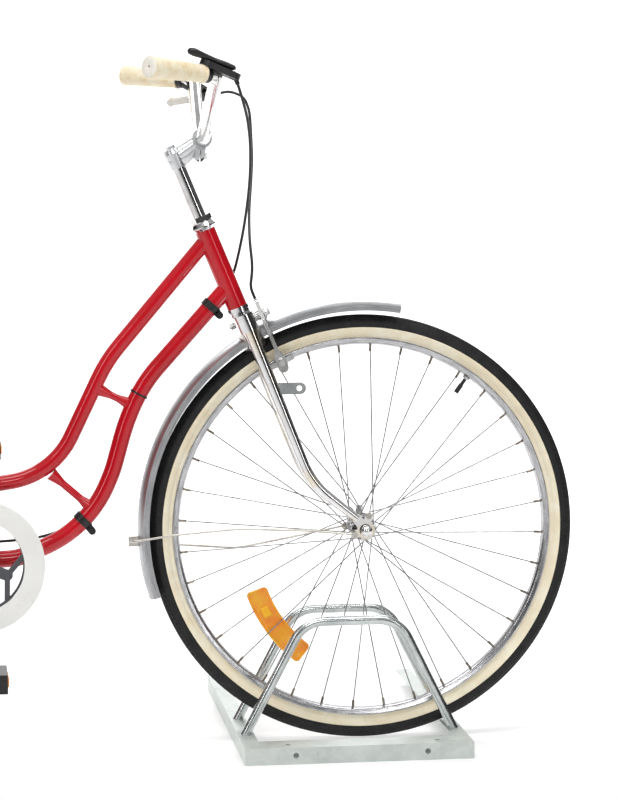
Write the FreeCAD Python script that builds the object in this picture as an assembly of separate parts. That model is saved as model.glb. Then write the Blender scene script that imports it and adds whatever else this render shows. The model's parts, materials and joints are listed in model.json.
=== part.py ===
import FreeCAD, Part
import math
import os

# A step-through city bicycle with its front wheel held in a steel floor stand.
# Millimetres.  +X points forward, +Y to the rider's left, +Z up, and the floor is Z = 0.
# Shapes are laid out from a point on the floor under the front axle, and are moved
# by ROW_SHIFT when they are written, so that the origin is under the middle of the whole.

Vec = FreeCAD.Vector

# ---- Driving dimensions -------------------------------------------------------------
TYRE_RADIUS = 348.0
TYRE_HALF_WIDTH = 17.6
FRONT_RISE = 4.0            # the stand's bars hold the front tyre this far off the floor
WHEELBASE = 1085.0
FRONT_CENTRE = 626.0        # front axle to bottom bracket, along X
BRACKET_DROP = 41.0         # bottom bracket below the front axle
HEAD_ANGLE = 67.8
HEAD_LENGTH = 135.0
CRANK_LENGTH = 170.0
HOOP_SPACING = 130.0
STAND_REAR = -214.0
STAND_FRONT = 153.0
STAND_NEAR = -187.0
STAND_FAR = 477.0
STAND_HEIGHT = 27.0
SPOKES = 36
RUN = 0.05                  # radial clearance of a running fit

# The middle of the whole, from the floor under the front axle.
MIDDLE_X = -553.5
MIDDLE_Y = 81.5
ROW_SHIFT = Vec(-MIDDLE_X, -MIDDLE_Y, 0)

FRONT_AXLE = Vec(0, 0, TYRE_RADIUS + FRONT_RISE)
REAR_AXLE = Vec(-WHEELBASE, 0, TYRE_RADIUS)
BRACKET = Vec(-FRONT_CENTRE, 0, FRONT_AXLE.z - BRACKET_DROP)
LEFT = Vec(0, 1, 0)
UP = Vec(0, 0, 1)
WHEEL_TURN = Vec(0, -1, 0)  # positive angles run from forward to up

# The steering axis and the foot of the head tube on it.
STEER_UP = Vec(-math.cos(math.radians(HEAD_ANGLE)), 0, math.sin(math.radians(HEAD_ANGLE)))
STEER_FORWARD = Vec(STEER_UP.z, 0, -STEER_UP.x)
HEAD_FOOT = FRONT_AXLE + Vec(-200.3, 0, 362.9)

# The seat tube's direction, from the bottom bracket.
SEAT_ANGLE = 70.0
SEAT_UP = Vec(-math.cos(math.radians(SEAT_ANGLE)), 0, math.sin(math.radians(SEAT_ANGLE)))


# ---- Places -------------------------------------------------------------------------
def at(forward, up, left=0.0):
    """A point placed from the front axle."""
    return FRONT_AXLE + Vec(forward, left, up)


def steer(up, forward=0.0, left=0.0):
    """A point placed from the foot of the head tube, along and across the steering axis."""
    return HEAD_FOOT + STEER_UP * up + STEER_FORWARD * forward + LEFT * left


def seat(up, forward=0.0, left=0.0):
    """A point placed from the bottom bracket, along and across the seat tube."""
    return BRACKET + SEAT_UP * up + Vec(SEAT_UP.z, 0, -SEAT_UP.x) * forward + LEFT * left


def around(centre, radius, degrees, left=0.0):
    """A point on a circle in a wheel's plane; 0 degrees is forward and 90 is up."""
    turn = math.radians(degrees)
    return centre + Vec(radius * math.cos(turn), left, radius * math.sin(turn))


def mirrored(shape):
    """The same shape on the other side of the bicycle."""
    return shape.mirror(Vec(0, 0, 0), LEFT)


def other_side(point):
    return Vec(point.x, -point.y, point.z)


# ---- Shapes -------------------------------------------------------------------------
def rod(start, end, radius):
    return Part.makeCylinder(radius, (end - start).Length, start, end - start)


def cone(start, end, start_radius, end_radius):
    return Part.makeCone(start_radius, end_radius, (end - start).Length, start, end - start)


def sleeve(start, end, outer, inner):
    """A straight tube with a bore right through it."""
    return rod(start, end, outer).cut(rod(start, end, inner))


def block(low, high):
    return Part.makeBox(high.x - low.x, high.y - low.y, high.z - low.z, low)


def joined(shapes):
    """One solid made of several that overlap."""
    whole = shapes[0].fuse(shapes[1:])
    return whole.removeSplitter()


def largest(shape):
    """The largest solid of a shape, without the scraps that a cut leaves."""
    return max(shape.Solids, key=lambda solid: solid.Volume)


def nearest(path, point):
    """The point of a path that is nearest to a given point, and the path's direction there."""
    spot = path.distToShape(Part.Vertex(point))[1][0][0]
    for edge in path.Edges:
        if edge.distToShape(Part.Vertex(spot))[0] < 1e-4:
            return spot, unit(edge.tangentAt(edge.Curve.parameter(spot)))


def hexagon(centre, axis, across_flats, depth):
    """A hexagonal prism that starts at a point and runs along an axis."""
    face = Part.Face(Part.makePolygon(ring_points(centre, axis, across_flats / math.sqrt(3), 6)))
    return face.extrude(unit(axis) * depth)


def unit(vector):
    return vector / vector.Length


def across(axis):
    """Two unit directions square to an axis and to each other."""
    aid = UP if abs(unit(axis).z) < 0.9 else LEFT
    first = unit(aid.cross(axis))
    return first, unit(axis.cross(first))


def ring_points(centre, axis, radius, count):
    first, second = across(axis)
    points = []
    for step in range(count + 1):
        turn = 2 * math.pi * (step % count) / count
        points.append(centre + first * (radius * math.cos(turn)) + second * (radius * math.sin(turn)))
    return points


def bent_wire(points, radii):
    """Straight runs joined by tangent arcs."""
    edges = []
    here = points[0]
    for before, corner, after, radius in zip(points, points[1:], points[2:], radii):
        back = unit(before - corner)
        ahead = unit(after - corner)
        half_turn = (math.pi - back.getAngle(ahead)) / 2
        reach = radius * math.tan(half_turn)
        start = corner + back * reach
        end = corner + ahead * reach
        middle = corner + unit(back + ahead) * (radius / math.cos(half_turn) - radius)
        edges.append(Part.LineSegment(here, start).toShape())
        edges.append(Part.Arc(start, middle, end).toShape())
        here = end
    edges.append(Part.LineSegment(here, points[-1]).toShape())
    return Part.Wire(edges)


def bent_rod(points, radii, radius):
    """A round bar along straight runs and tangent arcs."""
    path = bent_wire(points, radii)
    circle = Part.Circle(points[0], points[1] - points[0], radius).toShape()
    solid = path.makePipeShell([Part.Wire([circle])], True, False)
    return solid


def bent_tube(points, radii, outer, inner):
    return bent_rod(points, radii, outer).cut(bent_rod(points, radii, inner))


def even_radii(points, share=0.45):
    """The largest tangent arcs that the runs leave room for."""
    radii = []
    for before, corner, after in zip(points, points[1:], points[2:]):
        turn = math.pi - (before - corner).getAngle(after - corner)
        shorter = min((before - corner).Length, (after - corner).Length)
        radii.append(share * shorter / math.tan(turn / 2))
    return radii


def cable(name, points, radius):
    """A round cable; its arc radii and its volume check are printed."""
    radii = even_radii(points)
    solid = bent_rod(points, radii, radius)
    length = bent_wire(points, radii).Length
    section = math.pi * radius ** 2
    print(name, "radii", [round(value) for value in radii], "length", round(length),
          "volume / (section x length)", round(solid.Volume / (section * length), 4))
    return solid


def radial_face(centre, start, steps):
    """A closed face in the plane of an axle, from (radius, left) pairs.
    A step of one pair is a straight side, and of two pairs an arc through the first."""
    def spot(pair):
        return centre + Vec(pair[0], pair[1], 0)
    edges = []
    here = spot(start)
    for step in steps:
        end = spot(step[-1])
        if len(step) == 1:
            edges.append(Part.LineSegment(here, end).toShape())
        else:
            edges.append(Part.Arc(here, spot(step[0]), end).toShape())
        here = end
    return Part.Face(Part.Wire(edges))


def turned(centre, face, start=0.0, sweep=360.0):
    """A face swept round an axle, from a start angle."""
    shape = face.revolve(centre, WHEEL_TURN, sweep)
    shape.rotate(centre, WHEEL_TURN, start)
    return shape


def disc(centre, radius, low, high):
    """A disc square to the Y axis, between two distances to the left."""
    return rod(centre + LEFT * low, centre + LEFT * high, radius)


def strap(points, half_width, depth):
    """A flat strip with round ends along points in one plane, as thick as the depth vector."""
    parts = []
    for point in points:
        parts.append(Part.makeCylinder(half_width, depth.Length, point, depth))
    for start, end in zip(points, points[1:]):
        side = unit((end - start).cross(depth)) * half_width
        corners = [start - side, end - side, end + side, start + side, start - side]
        parts.append(Part.Face(Part.makePolygon(corners)).extrude(depth))
    return joined(parts)


def belt(first, first_radius, second, second_radius, low, high):
    """A plate shaped like a belt round two circles, square to the Y axis."""
    span = second - first
    lean = math.asin((first_radius - second_radius) / span.Length)
    angle = math.atan2(span.z, span.x)
    corners = []
    for sign in (1, -1):
        turn = angle + sign * (math.pi / 2 - lean)
        out = Vec(math.cos(turn), 0, math.sin(turn))
        pair = [first + out * first_radius, second + out * second_radius]
        corners += pair if sign == 1 else pair[::-1]
    flat = [Vec(point.x, low, point.z) for point in corners + corners[:1]]
    middle = Part.Face(Part.makePolygon(flat)).extrude(LEFT * (high - low))
    return joined([middle, disc(first, first_radius, low, high), disc(second, second_radius, low, high)])


def toothed_disc(centre, teeth, tip, root, low, high):
    """A toothed wheel square to the Y axis."""
    points = []
    for tooth in range(teeth):
        for share, radius in ((0.0, root), (0.3, root), (0.45, tip), (0.85, tip)):
            points.append(around(centre, radius, 360.0 * (tooth + share) / teeth, low))
    face = Part.Face(Part.makePolygon(points + points[:1]))
    return face.extrude(LEFT * (high - low))


# ---- Floor stand --------------------------------------------------------------------
SHEET = 2.5
SIDE_BAR_WIDTH = 58.0
CROSS_BAR_WIDTH = 27.0
FRONT_BAR_WIDTH = 26.0
HOOP_RADIUS = 7.75
STAND_HOLE_RADIUS = 4.5
TOP_HOLES_X = (-143.0, 97.0)
TOP_HOLE_Y = STAND_NEAR + 24.0
SIDE_HOLES_X = (-133.0, 78.0)
SIDE_HOLE_Z = 14.0


def stand_base():
    """A folded side bar, open below, and two angle bars that run away from it."""
    near_inner = STAND_NEAR + SIDE_BAR_WIDTH
    bar = block(Vec(STAND_REAR, STAND_NEAR, 0), Vec(STAND_FRONT, near_inner, STAND_HEIGHT))
    hollow = block(Vec(STAND_REAR + SHEET, STAND_NEAR + SHEET, -SHEET),
                   Vec(STAND_FRONT - SHEET, near_inner - SHEET, STAND_HEIGHT - SHEET))
    cuts = [hollow]
    for x in TOP_HOLES_X:
        cuts.append(rod(Vec(x, TOP_HOLE_Y, 0), Vec(x, TOP_HOLE_Y, 2 * STAND_HEIGHT), STAND_HOLE_RADIUS))
    for x in SIDE_HOLES_X:
        cuts.append(rod(Vec(x, STAND_NEAR - SHEET, SIDE_HOLE_Z), Vec(x, STAND_NEAR + 2 * SHEET, SIDE_HOLE_Z),
                        STAND_HOLE_RADIUS))
    side_bar = bar.cut(cuts)
    rear_bar = block(Vec(STAND_REAR, near_inner, 0), Vec(STAND_REAR + CROSS_BAR_WIDTH, STAND_FAR, STAND_HEIGHT))
    rear_bar = rear_bar.cut(block(Vec(STAND_REAR + SHEET, near_inner, 0),
                                  Vec(STAND_REAR + CROSS_BAR_WIDTH, STAND_FAR, STAND_HEIGHT - SHEET)))
    front_bar = block(Vec(STAND_FRONT - FRONT_BAR_WIDTH, near_inner, 0), Vec(STAND_FRONT, STAND_FAR, STAND_HEIGHT))
    front_bar = front_bar.cut(block(Vec(STAND_FRONT - FRONT_BAR_WIDTH, near_inner, 0),
                                    Vec(STAND_FRONT - SHEET, STAND_FAR, STAND_HEIGHT - SHEET)))
    return [side_bar, rear_bar, front_bar]


def stand_hoops():
    """Two bent tubes welded to the cross bars, one on each side of the wheel."""
    hoops = []
    for side in (-1, 1):
        y = side * HOOP_SPACING / 2
        corners = [Vec(-206, y, 17), Vec(-104, y, 207.5), Vec(51, y, 207.5), Vec(144, y, 17)]
        tube = bent_tube(corners, [55, 55], HOOP_RADIUS, HOOP_RADIUS - 1.5)
        below = block(Vec(-300, y - 20, -20), Vec(300, y + 20, STAND_HEIGHT))
        hoops.append(tube.cut(below))
    return hoops


# ---- Frame --------------------------------------------------------------------------
HEAD_RADIUS = 16.5
HEAD_BORE = 14.6
UPPER_RADIUS = 12.7
LOWER_RADIUS = 14.0
SEAT_TUBE_RADIUS = 14.3
SEAT_TUBE_BORE = 12.75
SEAT_TUBE_LENGTH = 450.0
SHELL_RADIUS = 20.0
SHELL_HALF_LENGTH = 34.0
TUBE_WALL = 1.5
HEAD_CORE = rod(steer(-5), steer(HEAD_LENGTH + 5), HEAD_RADIUS)
SHELL_CORE = disc(BRACKET, SHELL_RADIUS, -SHELL_HALF_LENGTH, SHELL_HALF_LENGTH)
SEAT_CORE = rod(seat(0), seat(SEAT_TUBE_LENGTH), SEAT_TUBE_RADIUS)

UPPER_POINTS = [at(-246, 475), at(-413, 279), at(-471, 160), at(-501.5, 98), at(-590, 83.5), at(-700, 74)]
UPPER_RADII = [245, 391, 129, 600]
LOWER_POINTS = [at(-210, 401), at(-352.5, 243.5), at(-382, 184), at(-405, 103), at(-444, 11.5), at(-557, -37.5),
                BRACKET]
LOWER_RADII = [236, 350, 200, 191, 85]


def head_tube():
    return [sleeve(steer(0), steer(HEAD_LENGTH), HEAD_RADIUS, HEAD_BORE)]


def upper_tube():
    """The upper of the two swept tubes, from the head to the seat tube."""
    tube = bent_tube(UPPER_POINTS, UPPER_RADII, UPPER_RADIUS, UPPER_RADIUS - TUBE_WALL)
    return [tube.cut([HEAD_CORE, SEAT_CORE, behind_seat_tube()])]


def behind_seat_tube():
    """Everything behind the seat tube's centre line, at the height of the upper tube."""
    return block(Vec(-800, -40, 380), Vec(seat(125).x, 40, 480))


def lower_tube():
    """The lower of the two swept tubes, from the head to the bottom bracket."""
    tube = bent_tube(LOWER_POINTS, LOWER_RADII, LOWER_RADIUS, LOWER_RADIUS - TUBE_WALL)
    return [tube.cut([HEAD_CORE, SHELL_CORE])]


def seat_tube():
    """The seat tube, its clamp collar and the collar's bolt."""
    tube = sleeve(seat(0), seat(SEAT_TUBE_LENGTH), SEAT_TUBE_RADIUS, SEAT_TUBE_BORE).cut(SHELL_CORE)
    outer = SEAT_TUBE_RADIUS + 3
    low = SEAT_TUBE_LENGTH - 16
    ears = block(Vec(-13, -8, low), Vec(0, 8, SEAT_TUBE_LENGTH))
    ears.translate(Vec(-outer + 3, 0, 0))
    collar = Part.makeCylinder(outer, 16, Vec(0, 0, low)).fuse(ears).removeSplitter()
    collar = collar.cut(Part.makeCylinder(SEAT_TUBE_RADIUS, 16, Vec(0, 0, low)))
    collar = collar.cut(block(Vec(-outer - 14, -1.5, low), Vec(-SEAT_TUBE_RADIUS + 2, 1.5, SEAT_TUBE_LENGTH)))
    bolt_start = Vec(-outer - 4.5, -13, low + 8)
    collar = collar.cut(rod(bolt_start, bolt_start + LEFT * 26, 2.6))
    bolt = rod(bolt_start + LEFT, bolt_start + LEFT * 25, 2.5)
    bolt = joined([bolt, hexagon(bolt_start + LEFT * 21.2, LEFT, 9, 4),
                   hexagon(bolt_start + LEFT * 0.8, LEFT, 9, 4)])
    placed = []
    for shape in (collar, bolt):
        shape.rotate(Vec(0, 0, 0), Vec(0, -1, 0), 90 - SEAT_ANGLE)
        shape.translate(BRACKET)
        placed.append(shape)
    return [tube] + placed


def frame_struts():
    """Two short stays between the swept tubes, each flared at both ends."""
    upper_core = bent_rod(UPPER_POINTS, UPPER_RADII, UPPER_RADIUS)
    lower_core = bent_rod(LOWER_POINTS, LOWER_RADII, LOWER_RADIUS)
    struts = []
    for start, end in ((at(-428, 234), at(-375, 208)), (at(-505, 98), at(-442, 42))):
        along = unit(end - start)
        bar = rod(start, end, 6.2)
        low_flare = cone(start, start + along * 23, 11, 6.2)
        high_flare = cone(end - along * 23, end, 6.2, 11)
        struts.append(largest(joined([bar, low_flare, high_flare]).cut([upper_core, lower_core])))
    return struts


def bottom_bracket_shell():
    return [sleeve(BRACKET - LEFT * SHELL_HALF_LENGTH, BRACKET + LEFT * SHELL_HALF_LENGTH, SHELL_RADIUS, 17.5)]


DROPOUT_IN = 58.0
DROPOUT_OUT = 62.0
CHAIN_STAY_POINTS = [BRACKET + Vec(-8, -22, 0), BRACKET + Vec(-100, -29.5, 6), BRACKET + Vec(-210, -39, 15),
                     REAR_AXLE + Vec(34, -60, -3)]
CHAIN_STAY_RADII = [300, 300]
SEAT_STAY_RADII = [24, 160]
REAR_EYELET = REAR_AXLE + Vec(-17, 0, 13)


def rear_stays():
    """Chain stays, seat stays, the bridges between them and the two dropouts."""
    seat_path = [seat(425, -4, -8), seat(406, -26, -31), seat(335, -60, -41), REAR_AXLE + Vec(10, -60, 34)]
    chain_stay = bent_tube(CHAIN_STAY_POINTS, CHAIN_STAY_RADII, 9, 7.8).cut([SHELL_CORE, SEAT_CORE])
    seat_core = bent_rod(seat_path, SEAT_STAY_RADII, 7)
    seat_stay = bent_tube(seat_path, SEAT_STAY_RADII, 8, 6.8).cut([SEAT_CORE, rod(seat(420), seat(460), 17.6)])
    dropout = strap([REAR_AXLE + Vec(36, DROPOUT_IN, -3), REAR_AXLE + Vec(0, DROPOUT_IN, 0),
                     REAR_AXLE + Vec(10, DROPOUT_IN, 36)], 9, LEFT * (DROPOUT_OUT - DROPOUT_IN))
    tail = strap([REAR_AXLE + LEFT * DROPOUT_IN, REAR_EYELET + LEFT * DROPOUT_IN], 7,
                 LEFT * (DROPOUT_OUT - DROPOUT_IN))
    dropout = joined([dropout, disc(REAR_AXLE, 15, DROPOUT_IN, DROPOUT_OUT), tail])
    dropout = mirrored(dropout.cut([disc(REAR_AXLE, 5.0, 0, 100), disc(REAR_EYELET, 2.6, 0, 100)]))
    right = joined([chain_stay, seat_stay, dropout])
    bridge_at = nearest(bent_wire(seat_path, SEAT_STAY_RADII), seat_path[2])[0]
    bridge = rod(bridge_at, other_side(bridge_at), 5).cut([seat_core, mirrored(seat_core)])
    return [joined([right, mirrored(right), bridge])]


def bearing_cups():
    """The head and bottom bracket bearing cups, pressed and screwed into the frame."""
    upper = joined([sleeve(steer(HEAD_LENGTH - 12), steer(HEAD_LENGTH), HEAD_BORE - RUN, 13.2),
                    cone(steer(HEAD_LENGTH), steer(HEAD_LENGTH + 5), 17, 21.5).cut(
                        rod(steer(HEAD_LENGTH), steer(HEAD_LENGTH + 5), 13.2)),
                    sleeve(steer(HEAD_LENGTH + 5), steer(HEAD_LENGTH + 7), 21.5, 13.2)])
    lower = joined([sleeve(steer(0), steer(12), HEAD_BORE - RUN, 13.2),
                    sleeve(steer(-6), steer(0), 18, 13.2)])
    cups = [upper, lower]
    for side in (-1, 1):
        inner = BRACKET + LEFT * side * 20
        face = BRACKET + LEFT * side * SHELL_HALF_LENGTH
        outer = BRACKET + LEFT * side * (SHELL_HALF_LENGTH + 5)
        cups.append(joined([sleeve(inner, face, 17.45, 12), sleeve(face, outer, 19, 8 + RUN)]))
    return cups


def band(place, eye):
    """A clip band round the lower tube with a bolted eyelet on its under side."""
    centre, along = nearest(bent_wire(LOWER_POINTS, LOWER_RADII), place)
    under = unit(eye - centre)
    ring = rod(centre - along * 6, centre + along * 6, LOWER_RADIUS + 2)
    tongue = strap([centre + under * LOWER_RADIUS - LEFT * 5, eye - LEFT * 5], 6, LEFT * 10)
    whole = joined([ring, tongue]).cut([grown_lower_tube(), disc(eye, 2.6, -20, 20)])
    bolt = joined([disc(eye, 2.5, -7, 7), disc(eye, 4.6, -8.5, -5.1), disc(eye, 4.6, 5.1, 8.5)])
    return [largest(whole), bolt]


def grown_lower_tube():
    """The lower tube's outside with the room that what is clipped on it needs."""
    return bent_rod(LOWER_POINTS, LOWER_RADII, LOWER_RADIUS + 0.1)


def cable_clips():
    """Two bolted bands and a thin tie that hold the gear cable to the lower tube."""
    tie_at, along = nearest(bent_wire(LOWER_POINTS, LOWER_RADII), at(-362, 225))
    tie = rod(tie_at - along * 1.5, tie_at + along * 1.5, LOWER_RADIUS + 1.4).cut(grown_lower_tube())
    return band(at(-243.5, 364.4), at(-229.5, 350)) + band(at(-450.5, 17), at(-440.5, 3.5)) + [largest(tie)]


# ---- Guard, chain and rear end ------------------------------------------------------
CHAIN_LINE = -45.0
RING_TEETH = 44
SPROCKET_TEETH = 19
GUARD_OUT = -71.5
GUARD_IN = -46.0
GUARD_WALL = 1.6
GUARD_RADIUS = 107.0
GUARD_WINDOW = 74.0
GUARD_REAR_RADIUS = 57.0
GUARD_REAR = REAR_AXLE + Vec(62, 0, -2)
CHAIN_RING_INNER = 85.0
CHAIN_SPROCKET_INNER = 35.0
CHAIN_HEIGHT = 8.5


def chain_guard():
    """A shell over the outside of the chain with a round window at the cranks."""
    outside = belt(BRACKET, GUARD_RADIUS, GUARD_REAR, GUARD_REAR_RADIUS, GUARD_OUT, GUARD_IN)
    inside = belt(BRACKET, GUARD_RADIUS - GUARD_WALL, GUARD_REAR, GUARD_REAR_RADIUS - GUARD_WALL,
                  GUARD_OUT + GUARD_WALL, 0)
    window = disc(BRACKET, GUARD_WINDOW, GUARD_OUT - 1, GUARD_IN)
    rear_end = block(GUARD_REAR + Vec(-90, -100, -80), GUARD_REAR + Vec(0, 0, 80))
    lip = sleeve(BRACKET + LEFT * GUARD_OUT, BRACKET + LEFT * (GUARD_OUT + 6), GUARD_WINDOW + 1.4, GUARD_WINDOW)
    shell = outside.cut([inside, window, rear_end])
    return [joined([shell, lip])]


def chain():
    """The chain as one closed loop, clear of both sets of teeth."""
    low = CHAIN_LINE - 4.5
    high = CHAIN_LINE + 4.5
    outside = belt(BRACKET, CHAIN_RING_INNER + CHAIN_HEIGHT, REAR_AXLE, CHAIN_SPROCKET_INNER + CHAIN_HEIGHT,
                   low, high)
    inside = belt(BRACKET, CHAIN_RING_INNER, REAR_AXLE, CHAIN_SPROCKET_INNER, low - 1, high + 1)
    return [outside.cut(inside)]


def fender_profile(centre, radius, thickness):
    """A domed strip with straight skirts, in the plane of the axle."""
    half = 25.0
    inner = half - thickness
    deep = radius - 18
    shoulder = radius - 8
    start = (deep, -half)
    low = radius - thickness
    steps = [((shoulder, -half),), ((radius, 0), (shoulder, half)), ((deep, half),), ((deep, inner),),
             ((shoulder - 0.4, inner),), ((low, 0), (shoulder - 0.4, -inner)), ((deep, -inner),), (start,)]
    return radial_face(centre, start, steps)


FENDER_CENTRE = at(2, 4)
FENDER_RADIUS = 369.0
REAR_FENDER_RADIUS = 370.0


def front_fender():
    return [turned(FENDER_CENTRE, fender_profile(FENDER_CENTRE, FENDER_RADIUS, 1.2), 80, 118)]


def rear_fender():
    return [turned(REAR_AXLE, fender_profile(REAR_AXLE, REAR_FENDER_RADIUS, 1.2), 12, 193)]


def rear_fender_stays():
    """A bent wire on each side from the dropout eyelet, and the screws that hold them."""
    parts = []
    for side in (-1, 1):
        end = around(REAR_AXLE, REAR_FENDER_RADIUS - 12, 190, side * 27.4)
        eyelet = REAR_EYELET + LEFT * side * (DROPOUT_OUT + 2.3)
        wire = bent_rod([eyelet, REAR_AXLE + Vec(-120, side * 58, 2), end], [300], 2)
        screw = joined([disc(REAR_EYELET, 2.5, *sorted((side * 57.5, side * 68))),
                        disc(REAR_EYELET, 5, *sorted((side * 63, side * 68)))])
        parts += [wire, largest(screw.cut(wire))]
    return parts


def rear_axle():
    """The hub axle with its cones, washers and nuts, and the brake arm clipped to the left stay."""
    axle = disc(REAR_AXLE, 4.9, -80, 80)
    parts = [axle]
    for side in (-1, 1):
        cone_low, cone_high = sorted((side * 30, side * (DROPOUT_IN - (4 if side > 0 else 0))))
        parts.append(sleeve(REAR_AXLE + LEFT * cone_low, REAR_AXLE + LEFT * cone_high, 9, 4.95))
        out = REAR_AXLE + LEFT * side * DROPOUT_OUT
        nut = hexagon(out, LEFT * side, 17, 9).cut(rod(out, out + LEFT * side * 20, 4.95))
        parts.append(nut)
    arm = strap([REAR_AXLE + Vec(0, DROPOUT_IN - 3.6, 0), REAR_AXLE + Vec(150, DROPOUT_IN - 3.6, -31)], 10,
                LEFT * 3.2)
    clip_at = REAR_AXLE + Vec(150, 0, -31)
    arm = arm.cut([disc(REAR_AXLE, 4.95, 0, 100), disc(clip_at, 3.1, 0, 100)])
    stay_core = mirrored(bent_rod(CHAIN_STAY_POINTS, CHAIN_STAY_RADII, 9.2))
    parts.append(largest(arm.cut(stay_core)))
    return parts


# ---- Seat ---------------------------------------------------------------------------
POST_RADIUS = 12.7
POST_TOP = 600.0
SADDLE_TOP = 944.0


def seat_post():
    low = sleeve(seat(330), seat(POST_TOP - 30), POST_RADIUS, POST_RADIUS - 1.6)
    high = joined([cone(seat(POST_TOP - 30), seat(POST_TOP - 20), POST_RADIUS, 11),
                   rod(seat(POST_TOP - 20), seat(POST_TOP), 11)])
    return [joined([low, high])]


def oval(centre, half_width, half_height):
    """A closed oval square to the X axis."""
    shape = Part.Ellipse(Vec(0, 0, 0), max(half_width, half_height), min(half_width, half_height)).toShape()
    wire = Part.Wire([shape])
    if half_height > half_width:
        wire.rotate(Vec(0, 0, 0), UP, 90)
    wire.rotate(Vec(0, 0, 0), Vec(1, 0, 0), 90)
    wire.rotate(Vec(0, 0, 0), UP, 90)
    wire.translate(centre)
    return wire


def saddle():
    """A plain closed solid as large as the padded saddle."""
    middle = seat(POST_TOP).x
    sections = []
    for forward, half_width, low in ((150, 16, 26), (120, 24, 32), (40, 34, 36), (-30, 70, 40), (-90, 104, 46),
                                     (-118, 88, 44)):
        depth = low / 2
        sections.append(oval(Vec(middle + forward, 0, SADDLE_TOP - depth), half_width, depth))
    return [Part.makeLoft(sections, True, True)]


def saddle_frame():
    """The clamp, two rails, the rear bridge and two coil springs in outline."""
    top = seat(POST_TOP)
    clamp_at = Vec(top.x, 0, top.z - 10)
    clamp = sleeve(seat(POST_TOP - 18), seat(POST_TOP - 1), 17, 11 + RUN)
    head = disc(clamp_at + Vec(0, 0, 6), 12, -31, 31).cut(rod(seat(POST_TOP - 40), seat(POST_TOP + 20), 17))
    parts = [clamp, head]
    for side in (-1, 1):
        rail = [Vec(top.x + 118, side * 9, SADDLE_TOP - 40), Vec(top.x + 60, side * 26, clamp_at.z - 9),
                Vec(top.x - 40, side * 36, clamp_at.z - 12), Vec(top.x - 84, side * 62, clamp_at.z - 10)]
        parts.append(bent_rod(rail, [30, 30], 3.5))
        spring_at = Vec(top.x - 84, side * 62, clamp_at.z - 6)
        parts.append(sleeve(spring_at, Vec(spring_at.x, spring_at.y, SADDLE_TOP - 48), 16, 12.5))
    return parts


# ---- Cranks and pedals --------------------------------------------------------------
RIGHT_CRANK_IN = -75.0
LEFT_CRANK_IN = 62.0
CRANK_DEPTH = 12.0
RIGHT_PEDAL_AXLE = BRACKET - UP * CRANK_LENGTH
LEFT_PEDAL_AXLE = BRACKET + UP * CRANK_LENGTH
PEDAL_GAP = 5.0
PEDAL_WIDTH = 92.0
PEDAL_LENGTH = 84.0
PEDAL_HEIGHT = 30.0
PEDAL_BORE = 6.0


def chainring():
    """A toothed ring on three arms that each fork in two."""
    low = CHAIN_LINE - 1.6
    high = CHAIN_LINE + 1.6
    ring = toothed_disc(BRACKET, RING_TEETH, CHAIN_RING_INNER - 0.7, CHAIN_RING_INNER - 4, low, high)
    ring = ring.cut(disc(BRACKET, 72, low - 1, high + 1))
    parts = [ring, disc(BRACKET, 24, low, high)]
    for arm in range(3):
        angle = -21 + 120 * arm
        fork = around(BRACKET, 50, angle, low)
        depth = LEFT * (high - low)
        parts.append(strap([around(BRACKET, 0, 0, low), fork], 9, depth))
        parts.append(strap([around(BRACKET, 76, angle + 32, low), fork, around(BRACKET, 76, angle - 32, low)],
                           4.5, depth))
    return [joined(parts).cut(disc(BRACKET, 8 + RUN, -100, 100))]


def crank_arms():
    """Two flat cranks with round ends, the right one down and the left one up."""
    right = joined([strap([BRACKET + LEFT * RIGHT_CRANK_IN, RIGHT_PEDAL_AXLE + LEFT * RIGHT_CRANK_IN], 11,
                          LEFT * -CRANK_DEPTH),
                    disc(BRACKET, 17, RIGHT_CRANK_IN - CRANK_DEPTH, CHAIN_LINE - 1.7),
                    disc(RIGHT_PEDAL_AXLE, 13, RIGHT_CRANK_IN - CRANK_DEPTH, RIGHT_CRANK_IN)])
    left = joined([strap([BRACKET + LEFT * LEFT_CRANK_IN, LEFT_PEDAL_AXLE + LEFT * LEFT_CRANK_IN], 11,
                         LEFT * CRANK_DEPTH),
                   disc(BRACKET, 17, LEFT_CRANK_IN - 8, LEFT_CRANK_IN + CRANK_DEPTH),
                   disc(LEFT_PEDAL_AXLE, 13, LEFT_CRANK_IN, LEFT_CRANK_IN + CRANK_DEPTH)])
    bores = [disc(BRACKET, 8 + RUN, -100, 100), disc(RIGHT_PEDAL_AXLE, 5 + RUN, -100, 0),
             disc(LEFT_PEDAL_AXLE, 5 + RUN, 0, 100)]
    return [right.cut(bores), left.cut(bores)]


def spindles():
    """The bottom bracket spindle and the two pedal spindles."""
    right_out = RIGHT_CRANK_IN - CRANK_DEPTH
    left_out = LEFT_CRANK_IN + CRANK_DEPTH
    centre = disc(BRACKET, 8, right_out - 1, left_out + 1)
    right = disc(RIGHT_PEDAL_AXLE, 5, right_out - PEDAL_GAP - PEDAL_WIDTH + 6, RIGHT_CRANK_IN)
    left = disc(LEFT_PEDAL_AXLE, 5, LEFT_CRANK_IN, left_out + PEDAL_GAP + PEDAL_WIDTH - 6)
    return [centre, right, left]


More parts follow.
